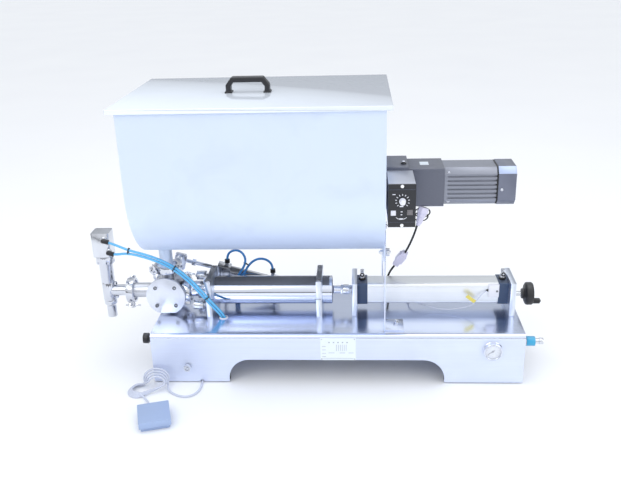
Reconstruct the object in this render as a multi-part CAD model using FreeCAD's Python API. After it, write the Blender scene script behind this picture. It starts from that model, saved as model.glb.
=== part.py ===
"""Piston liquid filler with a mixing hopper, as separate pieces. Millimetres, +Z up.

Inside this script X runs along the machine to the air cylinder's handwheel, Y runs to the back, and
Z = 0 is the floor. The numbers are measured from the middle of the base's footprint. Every piece is
moved by ORIGIN_SHIFT as it is saved, which puts the origin at the middle of the whole machine's box.
"""

import FreeCAD, Part
import math
import os

V = FreeCAD.Vector
X, Y, Z = V(1, 0, 0), V(0, 1, 0), V(0, 0, 1)
os.makedirs("parts", exist_ok=True)

# ---- driving dimensions -------------------------------------------------------------------------
ORIGIN_SHIFT = V(48.25, 60.2, 0)  # footprint middle of the base to the middle of the machine's box
BASE_L, BASE_D, BASE_TOP = 875.0, 248.0, 128.4
BASE_GAP, SHEET, BASE_BEND = 3.0, 2.0, 11.0
ARCH_HALF, ARCH_TOP, ARCH_R = 255.0, 62.5, 50.0
AXIS_Y, AXIS_Z = 24.0, 177.0      # the line of the material cylinder, the rod and the air cylinder

HOP_X0, HOP_X1, HOP_Y = -443.3, 113.4, 18.4
HOP_R, HOP_ZC, HOP_TOP = 185.3, 486.6, 668.0
LID_X0, LID_X1, LID_Y0, LID_Y1, LID_TOP = -460.0, 126.0, -176.0, 212.4, 670.0

MOTOR_Z, SHAFT_RISE = 452.8, 18.0
SHAFT_Z = MOTOR_Z + SHAFT_RISE
GEAR_MODULE, PINION_TEETH, WHEEL_TEETH = 1.5, 8, 16

VALVE_X, VALVE_R, COVER_R, COVER_FLAT = -419.0, 38.8, 48.0, 43.5
PLUG_R, LEVER_R, DRIVE_TILT, DRIVE_Y = 28.0, 60.0, 15.4, 96.0
NOZZLE_X = -572.0
FERRULE_R, FERRULE_T, GASKET = 25.25, 6.4, 1.5
TUBE_RO, TUBE_RI = 35.0, 32.5
SCREW_DROP = 12.0                 # the stroke stop screw runs below the cylinder's own line
RUN = 0.05                        # radial clearance of a running fit
PEDAL_AT, PEDAL_TURN = V(-398, -286, 0), 17.0


# ---- helpers ------------------------------------------------------------------------------------
def box(x0, x1, y0, y1, z0, z1):
    return Part.makeBox(x1 - x0, y1 - y0, z1 - z0, V(x0, y0, z0))


def cyl(x, y, z, axis, r, h):
    return Part.makeCylinder(r, h, V(x, y, z), axis)


def ring(x, y, z, axis, ro, ri, h):
    start = V(x, y, z) - axis * 1.0
    return cyl(x, y, z, axis, ro, h).cut(Part.makeCylinder(ri, h + 2, start, axis))


def prism(points, axis, lo, hi):
    """A flat outline of points in the plane across axis, pushed from lo to hi along it."""
    place = {"X": lambda a, b: V(lo, a, b), "Y": lambda a, b: V(a, lo, b), "Z": lambda a, b: V(a, b, lo)}
    push = {"X": V(hi - lo, 0, 0), "Y": V(0, hi - lo, 0), "Z": V(0, 0, hi - lo)}
    corners = [place[axis](a, b) for a, b in points]
    return Part.Face(Part.makePolygon(corners + corners[:1])).extrude(push[axis])


def hexagon(x, y, z, axis, across, h):
    """A hexagonal bar of that width across its flats."""
    r = across / 2 / math.cos(math.pi / 6)
    corners = [(r * math.cos(math.radians(60 * k)), r * math.sin(math.radians(60 * k))) for k in range(6)]
    bar = prism(corners, "Z", 0, h)
    bar.Placement = FreeCAD.Placement(V(x, y, z), FreeCAD.Rotation(Z, axis))
    return bar


def rounded(shape, radius, along):
    """The shape with its edges that run along that axis rounded."""
    edges = [e for e in shape.Edges if len(e.Vertexes) == 2 and abs((e.Vertexes[1].Point - e.Vertexes[0].Point)
             .normalize().dot(along)) > 0.999]
    return shape.makeFillet(radius, edges)


def fuse(first, *rest):
    return first.fuse(list(rest)).removeSplitter()


def save(node, *pieces):
    """Writes one node; its pieces stay separate solids."""
    solids = [s for p in pieces for s in p.Solids]
    for s in solids:
        if not s.isValid() or s.Volume <= 0:
            raise ValueError("bad solid in " + node)
    whole = Part.makeCompound(solids) if len(solids) > 1 else solids[0]
    whole.translate(ORIGIN_SHIFT)
    whole.exportStep("parts/" + node + ".step")
    print("%-20s %2d solids %10.1f cm3" % (node, len(solids), whole.Volume / 1000))


def cord(points, diameter, name):
    """A round tube of straight runs and tangent arcs, each arc as large as its two runs allow."""
    points = [V(*p) for p in points]
    edges, at, radii = [], points[0], []
    for before, corner, after in zip(points, points[1:], points[2:]):
        into, out = (corner - before), (after - corner)
        turn = into.getAngle(out)
        reach = 0.45 * min(into.Length, out.Length)
        radii.append(reach / math.tan(turn / 2))
        u, w = V(into).normalize(), V(out).normalize()
        start, end = corner - u * reach, corner + w * reach
        bisector = (w - u).normalize()
        centre = corner + bisector * (radii[-1] / math.cos(turn / 2))
        middle = centre + (corner - centre).normalize() * radii[-1]
        edges += [Part.LineSegment(at, start).toShape(), Part.Arc(start, middle, end).toShape()]
        at = end
    edges.append(Part.LineSegment(at, points[-1]).toShape())
    path = Part.Wire(edges)
    circle = Part.Wire(Part.Circle(points[0], (points[1] - points[0]).normalize(), diameter / 2).toShape())
    tube = path.makePipeShell([circle], True, False, 2)
    ideal = math.pi * diameter ** 2 / 4 * path.Length
    print("%-20s length %6.1f  volume ratio %.4f  radii %s" % (
        name, path.Length, tube.Volume / ideal, " ".join("%.0f" % r for r in radii)))
    return tube


def ferrule(x, y, z, axis, neck_r, bore_r, neck):
    """A clamp ferrule: its flat face is at the given point, and it runs back along axis to a neck."""
    flange = cyl(x, y, z, axis, FERRULE_R, FERRULE_T * 0.45)
    at = V(x, y, z) + axis * (FERRULE_T * 0.45)
    cone = Part.makeCone(FERRULE_R, neck_r + 2, FERRULE_T * 0.55, at, axis)
    tube = Part.makeCylinder(neck_r, neck, V(x, y, z), axis)
    return fuse(flange, cone, tube), Part.makeCylinder(bore_r, neck + 2, V(x, y, z) - axis, axis)


def clamp(x, y, z, axis, side):
    """Two half rings over a pair of ferrules, with a hinge pin, a swing bolt and a wing nut."""
    half = FERRULE_T + GASKET / 2 + 1.5
    centre, across = V(x, y, z), axis.cross(side)
    body = Part.makeCylinder(31, 2 * half, centre - axis * half, axis)
    body = body.cut(Part.makeCylinder(FERRULE_R + 0.3, 2 * half + 2, centre - axis * (half + 1), axis))
    bolt_at, pin_at = centre + side * 37.5, centre - side * 34
    pin = Part.makeCylinder(3, 12.4, pin_at - axis * 6.2, axis)
    bolt_hole = Part.makeCylinder(3.2, 60, bolt_at - across * 30, across)
    parts = []
    for sign in (-1, 1):
        turn = FreeCAD.Rotation(side, across * sign, axis, "XYZ")
        slab, ear, knuckle = (turned_block(size, low, centre, turn) for size, low in (
            (V(90, 45, 60), V(-45, 1, -30)), (V(14, 7, 12), V(29, 1, -6)), (V(8, 6, 12), V(-36, 1, -6))))
        parts.append(fuse(body.common(slab), ear, knuckle).cut(bolt_hole).cut(pin))
    bolt = Part.makeCylinder(3, 40, bolt_at - across * 16, across)
    turn = FreeCAD.Rotation(axis, side, across, "XYZ")
    wings = [turned_block(V(13, 4, 12), V(low, -2, 8.4), bolt_at, turn) for low in (5, -18)]
    nut = fuse(Part.makeCylinder(7, 8, bolt_at + across * 8.2, across), *wings)
    return parts + [bolt, pin, nut.cut(Part.makeCylinder(3, 60, bolt_at - across * 30, across))]


def turned_block(size, low, centre, turn):
    """A block of that size with its lowest corner at low, then turned and moved to a centre."""
    block = Part.makeBox(size.x, size.y, size.z)
    block.Placement = FreeCAD.Placement(centre, turn).multiply(FreeCAD.Placement(low, FreeCAD.Rotation()))
    return block


def gear(teeth, x0, x1, z, phase):
    """A spur gear about X at (HOP_Y, z), with straight-sided teeth cut thin enough to run freely."""
    pitch, tip, root = GEAR_MODULE * teeth / 2, GEAR_MODULE * 0.85, GEAR_MODULE * 1.2
    points = []
    for k in range(teeth):
        middle = math.radians(phase) + 2 * math.pi * k / teeth
        for radius, half in ((pitch - root, 0.36), (pitch, 0.29), (pitch + tip, 0.13)):
            points.append((radius, middle - half * GEAR_MODULE * math.pi / radius / 1.45))
        for radius, half in ((pitch + tip, 0.13), (pitch, 0.29), (pitch - root, 0.36)):
            points.append((radius, middle + half * GEAR_MODULE * math.pi / radius / 1.45))
    return prism([(HOP_Y + r * math.cos(a), z + r * math.sin(a)) for r, a in points], "X", x0, x1)


# ---- base ---------------------------------------------------------------------------------------
GROMMETS = {"front tubes": (-275.8, -34.0, 9.0), "drive tubes": (-254.8, 66.0, 8.0),
            "motor cable": (130.0, 58.0, 5.0), "sensor wire": (178.0, 51.0, 4.5)}
FEET = [(sx * 268.0, sy * 108.0) for sx in (-1, 1) for sy in (-1, 1)]
GAUGE_X, GAUGE_Z = 363.5, 88.9
THROTTLE_X, THROTTLE_Z = -353.2, 44.8
SIDE_Y, SELECTOR_Z, INLET_Z = -100.0, 107.3, 101.0
CABLE_NOTCH_X = -321.8


def arch(half, top, radius, axis, reach):
    """The cutter for a cut-out with quarter-round upper corners, open at the floor."""
    block = {"Y": box(-half, half, -reach, reach, -1, top), "X": box(-reach, reach, -half, half, -1, top)}[axis]
    along = Y if axis == "Y" else X
    corners = [e for e in block.Edges if abs((e.Vertexes[1].Point - e.Vertexes[0].Point).normalize().dot(along))
               > 0.999 and e.CenterOfMass.z > top - 1]
    return block.makeFillet(radius, corners)


def base():
    half_l, half_d = BASE_L / 2, BASE_D / 2
    outer = box(-half_l, half_l, -half_d, half_d, BASE_GAP, BASE_TOP)
    in_l, in_d = half_l - SHEET, half_d - SHEET
    inner = box(-in_l, in_l, -in_d, in_d, BASE_GAP - 1, BASE_TOP - SHEET)
    for shape, radius in ((outer, BASE_BEND), (inner, BASE_BEND - SHEET)):
        bends = [e for e in shape.Edges if abs((e.Vertexes[1].Point - e.Vertexes[0].Point).normalize().x) > 0.999
                 and e.CenterOfMass.z > BASE_TOP - SHEET - 1]
        bent = shape.makeFillet(radius, bends)
        outer, inner = (bent, inner) if shape is outer else (outer, bent)
    housing = outer.cut(inner)
    housing = housing.cut(arch(ARCH_HALF, ARCH_TOP, ARCH_R, "Y", half_d + 5))
    housing = housing.cut(arch(66, 52, 40, "X", half_l + 5))
    tabs = []
    for x, y in FEET:
        near, far = sorted((math.copysign(half_d - SHEET, y), y - math.copysign(13, y)))
        tabs.append(box(x - 13, x + 12.5, near, far, 22, 24))
    housing = fuse(housing, *tabs)
    for x, y, r in GROMMETS.values():
        housing = housing.cut(cyl(x, y, BASE_TOP - 5, Z, r, 10))
    housing = housing.cut(cyl(GAUGE_X, -half_d - 5, GAUGE_Z, Y, 18.5, 10))
    housing = housing.cut(cyl(THROTTLE_X, -half_d - 5, THROTTLE_Z, Y, 4.2, 10))
    housing = housing.cut(cyl(-half_l - 5, SIDE_Y, SELECTOR_Z, X, 6.2, 10))
    housing = housing.cut(cyl(half_l - 5, SIDE_Y, INLET_Z, X, 6.0, 10))
    housing = housing.cut(box(CABLE_NOTCH_X - 4.5, CABLE_NOTCH_X + 4.5, -half_d - 5, -half_d + 5, 0, 7.5))
    save("base_housing", housing)
    save("rubber_feet", *[rounded_foot(x, y) for x, y in FEET])
    rings = []
    for x, y, r in GROMMETS.values():
        neck = ring(x, y, BASE_TOP - SHEET - 1.5, Z, r, r - 1.0, SHEET + 4.1)
        flanges = [ring(x, y, z, Z, r + 1.8, r - 1.0, 1.5) for z in (BASE_TOP - SHEET - 1.5, BASE_TOP)]
        rings.append(fuse(neck, *flanges))
    save("grommets", *rings)
    valves = [box(-190, -40, -40, 10, 92, BASE_TOP - SHEET)]
    valves += [box(-178 + 48 * k, -146 + 48 * k, -66, -40, 98, 120) for k in range(3)]
    unit = fuse(box(270, 320, -60, -10, 84, 104), cyl(295, -35, 50, Z, 20, 34), cyl(295, -35, 104, Z, 14, 12))
    save("control_gear", *valves, unit, box(285, 305, -45, -25, 116, BASE_TOP - SHEET),
         rounded(box(0, 130, -60, 30, 84, BASE_TOP - SHEET), 4, Z))


def rounded_foot(x, y):
    foot = cyl(x, y, 0, Z, 12.5, 22)
    return foot.makeChamfer(1.5, [e for e in foot.Edges if e.CenterOfMass.z < 1 and len(e.Vertexes) == 1])


# ---- material cylinder --------------------------------------------------------------------------
LEFT_BRACKET, RIGHT_BRACKET = (-317.0, -303.6), (-48.0, -34.6)
FRONT_PLATE, REAR_PLATE = (38.6, 51.0), (415.0, 428.0)
BRACKET_Y, BRACKET_TOP, BRACKET_BOLTS = (-31.0, 73.0), 222.0, (-21.0, 66.0)
PLATE_Y, PLATE_TOP = (-28.5, 69.0), 214.0
TUBE_X0, TUBE_X1, PORT_X = -322.0, -10.2, -370.5


def material_cylinder():
    halves = []
    for x0, x1 in (LEFT_BRACKET, RIGHT_BRACKET):
        whole = box(x0, x1, *BRACKET_Y, BASE_TOP, BRACKET_TOP).cut(cyl(x0 - 1, AXIS_Y, AXIS_Z, X, TUBE_RO, 20))
        for y in BRACKET_BOLTS:
            whole = whole.cut(cyl((x0 + x1) / 2, y, 150, Z, 3, 90))
            whole = whole.cut(cyl((x0 + x1) / 2, y, BRACKET_TOP - 4.5, Z, 5.2, 20))
        halves += [whole.common(box(x0 - 1, x1 + 1, -100, 150, 0, AXIS_Z)),
                   whole.common(box(x0 - 1, x1 + 1, -100, 150, AXIS_Z + 0.4, 300))]
    save("cylinder_brackets", *halves)
    tube = ring(TUBE_X0, AXIS_Y, AXIS_Z, X, TUBE_RO, TUBE_RI, TUBE_X1 - TUBE_X0)
    head = cyl(TUBE_X0 - 6, AXIS_Y, AXIS_Z, X, TUBE_RO, 6)
    port, bore = ferrule(PORT_X, AXIS_Y, AXIS_Z, X, 16.5, 13.5, TUBE_X0 - PORT_X)
    save("material_tube", fuse(tube, head, port).cut(bore))
    piston = cyl(-42, AXIS_Y, AXIS_Z, X, TUBE_RI - 1.0, 26)
    seals = []
    for x in (-38.5, -25.5):
        groove = ring(x, AXIS_Y, AXIS_Z, X, TUBE_RI + 2, TUBE_RI - 5, 6)
        piston = piston.cut(groove)
        seals.append(ring(x + 0.1, AXIS_Y, AXIS_Z, X, TUBE_RI - RUN, TUBE_RI - 4.9, 5.8))
    save("material_piston", piston, *seals)
    save("piston_rod", cyl(-16, AXIS_Y, AXIS_Z, X, 10, 27), cyl(-46, AXIS_Y, AXIS_Z, X, 8, 4))
    coupling = fuse(hexagon(11, AXIS_Y, AXIS_Z, X, 22, 6), cyl(17, AXIS_Y, AXIS_Z, X, 12.5, 13),
                    hexagon(30, AXIS_Y, AXIS_Z, X, 20, 8))
    save("rod_coupling", coupling.cut(cyl(31, AXIS_Y, AXIS_Z, X, ROD_R, 10)))


# ---- air cylinder -------------------------------------------------------------------------------
CAP, CAP_FRONT, CAP_REAR = 28.0, (51.0, 76.0), (391.0, 415.0)
BORE_R, ROD_R = 20.0, 8.0
SCREW_Z = AXIS_Z - SCREW_DROP
WHEEL_X, WHEEL_R = 452.0, 28.0
GRIP_Y, GRIP_Z = AXIS_Y - 7.5, SCREW_Z - 16.4
SENSOR_X = 379.0


def air_cylinder():
    front = box(*FRONT_PLATE, *PLATE_Y, BASE_TOP, PLATE_TOP).cut(cyl(30, AXIS_Y, AXIS_Z, X, 14, 30))
    rear = box(*REAR_PLATE, *PLATE_Y, BASE_TOP, PLATE_TOP).cut(cyl(400, AXIS_Y, SCREW_Z, X, 6 + RUN, 60))
    save("end_plates", front, rear)
    caps = []
    for x0, x1 in (CAP_FRONT, CAP_REAR):
        block = box(x0, x1, AXIS_Y - CAP, AXIS_Y + CAP, AXIS_Z - CAP, AXIS_Z + CAP)
        caps.append(rounded(block, 3.5, X))
    caps[0] = caps[0].cut(cyl(40, AXIS_Y, AXIS_Z, X, ROD_R + RUN, 50))
    caps[1] = caps[1].cut(cyl(380, AXIS_Y, SCREW_Z, X, 6 + RUN, 60))
    save("cylinder_caps", *caps)
    x0, x1 = CAP_FRONT[1], CAP_REAR[0]
    barrel = rounded(box(x0, x1, AXIS_Y - 25, AXIS_Y + 25, AXIS_Z - 25, AXIS_Z + 25), 9, X)
    barrel = barrel.cut(cyl(x0 - 1, AXIS_Y, AXIS_Z, X, BORE_R, x1 - x0 + 2))
    for dy, dz in ((-25, 9), (-25, -9), (25, 9), (25, -9), (9, 25), (-9, 25), (9, -25), (-9, -25)):
        slot = box(x0 - 1, x1 + 1, -1.6, 1.6, -1.4, 1.4).translated(V(0, AXIS_Y + dy, AXIS_Z + dz))
        barrel = barrel.cut(slot)
    save("cylinder_barrel", barrel)
    save("air_piston", cyl(31, AXIS_Y, AXIS_Z, X, ROD_R, 335), cyl(366, AXIS_Y, AXIS_Z, X, 5, 18),
         ring(366, AXIS_Y, AXIS_Z, X, BORE_R - RUN, 5, 18))
    screw = cyl(386, AXIS_Y, SCREW_Z, X, 6, WHEEL_X + 16 - 386)
    nut = hexagon(429, AXIS_Y, SCREW_Z, X, 19, 6).cut(cyl(420, AXIS_Y, SCREW_Z, X, 6, 30))
    save("stop_screw", screw, nut)
    handwheel()


def handwheel():
    """A dished wheel turned about the screw, with a pin for its revolving grip."""
    profile = [(0, 6 + RUN), (0, 12), (5, 13), (7, 22), (10, WHEEL_R - 1), (13, WHEEL_R), (23, WHEEL_R),
               (26, WHEEL_R - 2), (26, WHEEL_R - 6), (14, 14), (14, 10), (20, 9), (20, 6 + RUN)]
    corners = [V(WHEEL_X + a, AXIS_Y, SCREW_Z + r) for a, r in profile]
    wheel = Part.Face(Part.makePolygon(corners + corners[:1])).revolve(V(0, AXIS_Y, SCREW_Z), X, 360)
    boss = cyl(WHEEL_X + 9, GRIP_Y, GRIP_Z, X, 8, 16.5)
    pin = cyl(WHEEL_X + 12, GRIP_Y, GRIP_Z, X, 3, 34)
    save("handwheel", fuse(wheel, boss, pin))
    grip = cyl(WHEEL_X + 26, GRIP_Y, GRIP_Z, X, 7, 18)
    grip = grip.makeFillet(2, [e for e in grip.Edges if len(e.Vertexes) == 1])
    save("handwheel_grip", grip.cut(cyl(WHEEL_X, GRIP_Y, GRIP_Z, X, 3 + RUN, 60)))


# ---- rotary valve and its drive -----------------------------------------------------------------
VALVE_Y0, VALVE_Y1 = -10.0, 58.0
INLET_FACE_Z = 238.4
LEVER_Y0, LEVER_Y1 = 70.0, 77.0
DRIVE_HEAD, DRIVE_BARREL, DRIVE_REAR = (100.0, 133.0), (133.0, 238.0), (238.0, 258.0)
DRIVE_LINE = -4.0


def drive(shape):
    """Turns a piece made along X at the pin's place into the drive cylinder's own slope."""
    tilt = math.radians(DRIVE_TILT)
    pin = V(VALVE_X + LEVER_R * math.sin(tilt), 0, AXIS_Z + LEVER_R * math.cos(tilt))
    moved = shape.copy()
    moved.rotate(V(0, 0, 0), Y, DRIVE_TILT)
    moved.translate(pin)
    return moved


def valve():
    body = cyl(VALVE_X, VALVE_Y0, AXIS_Z, Y, VALVE_R, VALVE_Y1 - VALVE_Y0)
    ports = [ferrule(VALVE_X, AXIS_Y, INLET_FACE_Z, -Z, 17, 14, INLET_FACE_Z - AXIS_Z),
             ferrule(PORT_X - GASKET, AXIS_Y, AXIS_Z, -X, 16.5, 13.5, PORT_X - GASKET - VALVE_X),
             ferrule(-513.0, AXIS_Y, AXIS_Z, X, 18.3, 14, VALVE_X + 513.0)]
    body = fuse(body, *[p[0] for p in ports])
    for _, bore in ports:
        body = body.cut(bore.cut(box(-700, 700, -200, 200, 0, 130)))
    body = body.cut(cyl(VALVE_X, VALVE_Y0 - 1, AXIS_Z, Y, PLUG_R, 80))
    save("valve_body", body)
    front = cyl(VALVE_X, VALVE_Y0 - 8, AXIS_Z, Y, COVER_R, 8)
    front = front.cut(box(-500, -300, -30, 0, 100, AXIS_Z - COVER_FLAT))
    back = ring(VALVE_X, VALVE_Y1, AXIS_Z, Y, COVER_R - 5, 8 + RUN, 8)
    save("valve_covers", front, back)
    plug = cyl(VALVE_X, VALVE_Y0 + 0.1, AXIS_Z, Y, PLUG_R - RUN, VALVE_Y1 - VALVE_Y0 - 0.2)
    for angle in (45, -45, -135):
        way = V(math.cos(math.radians(angle)), 0, math.sin(math.radians(angle)))
        plug = plug.cut(Part.makeCylinder(13, 40, V(VALVE_X, AXIS_Y, AXIS_Z), way))
    save("valve_plug", fuse(plug, cyl(VALVE_X, VALVE_Y1 - 1, AXIS_Z, Y, 8, 22)))
    arm = fuse(cyl(0, LEVER_Y0, 0, Y, 15, 7), cyl(0, LEVER_Y0, LEVER_R, Y, 9, 7),
               box(-8, 8, LEVER_Y0, LEVER_Y1, 0, LEVER_R),
               cyl(0, LEVER_Y0, LEVER_R, Y, 4, DRIVE_Y + 5 - LEVER_Y0))
    arm = arm.cut(cyl(0, LEVER_Y0 - 1, 0, Y, 8, 9))
    arm.rotate(V(0, 0, 0), Y, DRIVE_TILT)
    arm.translate(V(VALVE_X, 0, AXIS_Z))
    save("valve_lever", arm)
    drive_cylinder()


def drive_cylinder():
    yoke = rounded(box(-13, 18, DRIVE_Y - 4, DRIVE_Y + 4, -31, 12), 5, Y)
    slot = fuse(box(-6.3, 6.3, DRIVE_Y - 6, DRIVE_Y + 6, -18, 0), cyl(0, DRIVE_Y - 6, 0, Y, 6.3, 12),
                cyl(0, DRIVE_Y - 6, -18, Y, 6.3, 12))
    rod = cyl(17, DRIVE_Y, DRIVE_LINE, X, 5, 164)
    nut = hexagon(34, DRIVE_Y, DRIVE_LINE, X, 16, 9)
    rod_with_yoke = fuse(yoke.cut(slot), rod, nut)
    piston = cyl(181, DRIVE_Y, DRIVE_LINE, X, 13 - RUN, 10)
    save("drive_rod", drive(rod_with_yoke), drive(piston))
    head = rounded(box(*DRIVE_HEAD, DRIVE_Y - 16, DRIVE_Y + 16, DRIVE_LINE - 16, DRIVE_LINE + 16), 4, X)
    head = head.cut(cyl(90, DRIVE_Y, DRIVE_LINE, X, 5 + RUN, 60))
    barrel = ring(DRIVE_BARREL[0], DRIVE_Y, DRIVE_LINE, X, 15, 13, DRIVE_BARREL[1] - DRIVE_BARREL[0])
    rear = rounded(box(*DRIVE_REAR, DRIVE_Y - 16, DRIVE_Y + 16, DRIVE_LINE - 16, DRIVE_LINE + 16), 4, X)
    pieces = [drive(p) for p in (head, barrel, rear)]
    for x, top in ((-296, 196), (-169, 158)):
        foot = fuse(box(x, x + 6, DRIVE_Y - 8, DRIVE_Y + 8, BASE_TOP, top),
                    box(x, x + 30, DRIVE_Y - 8, DRIVE_Y + 8, BASE_TOP, BASE_TOP + 4))
        for p in pieces:
            foot = foot.cut(p)
        pieces.append(max(foot.Solids, key=lambda s: s.Volume))
    save("drive_cylinder", *pieces)


# ---- nozzle -------------------------------------------------------------------------------------
def nozzle():
    at = (NOZZLE_X, AXIS_Y)
    tip = fuse(cyl(*at, 106, Z, 11.5, 31), Part.makeCone(11.5, 15.5, 5, V(*at, 137), Z),
               cyl(*at, 142, Z, 15.5, 11))
    save("nozzle_tip", tip.cut(cyl(*at, 100, Z, 7, 60)))
    side, bore = ferrule(-513.0 - GASKET, AXIS_Y, AXIS_Z, -X, 14, 11, -513.0 - GASKET - NOZZLE_X)
    tee = fuse(cyl(*at, 153, Z, 16.5, 48), side)
    bosses = [hexagon(NOZZLE_X + 17, AXIS_Y, z, Z, 9, 6) for z in (156, 193)]
    tee = tee.cut(cyl(*at, 150, Z, 14, 60)).cut(bore.cut(cyl(*at, 150, Z, 14, 60)))
    save("nozzle_tee", tee, *[b.cut(cyl(*at, 150, Z, 16.5, 60)) for b in bosses])
    upper = fuse(cyl(*at, 201, Z, 16.5, 52), cyl(*at, 253, Z, 22.5, 21))
    for angle in range(0, 360, 60):
        lug = V(22.5 * math.cos(math.radians(angle)), 22.5 * math.sin(math.radians(angle)), 0)
        upper = upper.cut(cyl(NOZZLE_X + lug.x, AXIS_Y + lug.y, 250, Z, 3.5, 10))
    save("nozzle_tube", upper.cut(cyl(*at, 200, Z, 14, 64)).cut(cyl(*at, 200, Z, 4 + RUN, 90)))
    body = rounded(box(NOZZLE_X - 22, NOZZLE_X + 22, AXIS_Y - 22, AXIS_Y + 22, 274, 335), 6, Z)
    body = body.cut(cyl(*at, 282, Z, 18, 47)).cut(cyl(*at, 270, Z, 4 + RUN, 30))
    save("nozzle_cylinder", body)
    save("nozzle_needle", fuse(cyl(*at, 114, Z, 4, 174), cyl(*at, 108, Z, 7 - RUN, 8),
                               cyl(*at, 286, Z, 18 - RUN, 10)))


# ---- clamps, fittings and fasteners -------------------------------------------------------------
def small_parts():
    clamps = clamp(VALVE_X, AXIS_Y, INLET_FACE_Z + GASKET / 2, Z, V(-math.sqrt(0.75), -0.5, 0))
    clamps += clamp(-513.0 - GASKET / 2, AXIS_Y, AXIS_Z, X, V(0, -0.5, -math.sqrt(0.75)))
    clamps += clamp(PORT_X - GASKET / 2, AXIS_Y, AXIS_Z, X, V(0, 0.5, math.sqrt(0.75)))
    save("tri_clamps", *clamps)
    fittings = []
    for x, z in ((-560, 320.5), (-551, 289.5)):
        bend, way = V(x, -7.5, z), V(0.97, 0, -0.243)
        elbow = fuse(cyl(x, 2, z, -Y, 5, 11), Part.makeSphere(5.6, bend), Part.makeCylinder(5.6, 12, bend, way))
        fittings.append(elbow.cut(Part.makeCylinder(3, 6, bend + way * 8.2, way)))
    for x, z0, z1 in ((-281, 213, 226), (-165, 181, 198)):
        stub = fuse(cyl(x, DRIVE_Y, z0, Z, 5, z1 - z0), hexagon(x, DRIVE_Y, z0 + 1, Z, 10, 5))
        fittings.append(stub.cut(cyl(x, DRIVE_Y, z1 - 4, Z, 3, 6)).cut(drive(
            box(90, 270, DRIVE_Y - 16, DRIVE_Y + 16, DRIVE_LINE - 16, DRIVE_LINE + 16))))
    for x in (63.5, 403.0):
        top = AXIS_Z + CAP
        fittings.append(fuse(cyl(x, AXIS_Y, top, Z, 7.5, 5), hexagon(x, AXIS_Y, top + 5, Z, 12, 6),
                             cyl(x, AXIS_Y, top + 11, Z, 4.5, 14), cyl(x, AXIS_Y, top + 17, -Y, 4.5, 14)))
    sensor = box(SENSOR_X - 12, SENSOR_X + 12, AXIS_Y - 31, AXIS_Y - 25, AXIS_Z - 6, AXIS_Z + 14)
    fittings.append(sensor)
    save("air_fittings", *fittings)
    screws = []
    for turn in (45, 135, 225, 315):
        dx, dz = 33.5 * math.cos(math.radians(turn)), 33.5 * math.sin(math.radians(turn))
        screws.append(ring(VALVE_X + dx, VALVE_Y0 - 8, AXIS_Z + dz, -Y, 4.5, 2.2, 2.5))
        screws.append(cyl(VALVE_X + dx, VALVE_Y1 + 8, AXIS_Z + dz, Y, 3.5, 2.5))
    for x0, x1 in (LEFT_BRACKET, RIGHT_BRACKET):
        for y in BRACKET_BOLTS:
            at = ((x0 + x1) / 2, y)
            shank = cyl(*at, 150, Z, 3, BRACKET_TOP - 154)
            screws.append(fuse(shank, cyl(*at, BRACKET_TOP - 4.5, Z, 5, 5.5)))
    for dy, dz in ((-30.5, -26), (-30.5, 26), (30.5, -26), (30.5, 26)):
        stud = cyl(-356, AXIS_Y + dy, AXIS_Z + dz, X, 4, 39)
        screws.append(fuse(stud, cyl(-352, AXIS_Y + dy, AXIS_Z + dz, X, 11.5, 24)))
    for x, y in ((144.5, -63), (144.5, 101)):
        screws.append(fuse(cyl(x, y, BASE_TOP + 3, Z, 6, 1), hexagon(x, y, BASE_TOP + 4, Z, 8.5, 5)))
    for y in (-75, 104):
        shank = cyl(101, y, 316, X, 3, 27)
        knob = cyl(117.4, y, 316, X, 9, 8)
        for k in range(6):
            edge = V(0, 10.5 * math.cos(k * math.pi / 3), 10.5 * math.sin(k * math.pi / 3))
            knob = knob.cut(cyl(116, y + edge.y, 316 + edge.z, X, 2.6, 12))
        screws.append(fuse(shank, knob, hexagon(104, y, 316, X, 10, 7.4)))
    for z in (405.0, 492.5):
        screws.append(cyl(148.2, -141, z, -Y, 3.6, 2))
    save("screws", *screws)


# ---- hopper and lid -----------------------------------------------------------------------------
def trough(x0, x1, r, top):
    """A U-shaped block along X: a half cylinder with straight sides above it."""
    return fuse(cyl(x0, HOP_Y, HOP_ZC, X, r, x1 - x0), box(x0, x1, HOP_Y - r, HOP_Y + r, HOP_ZC, top)).common(
        box(x0, x1, HOP_Y - r, HOP_Y + r, 0, top))


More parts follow.
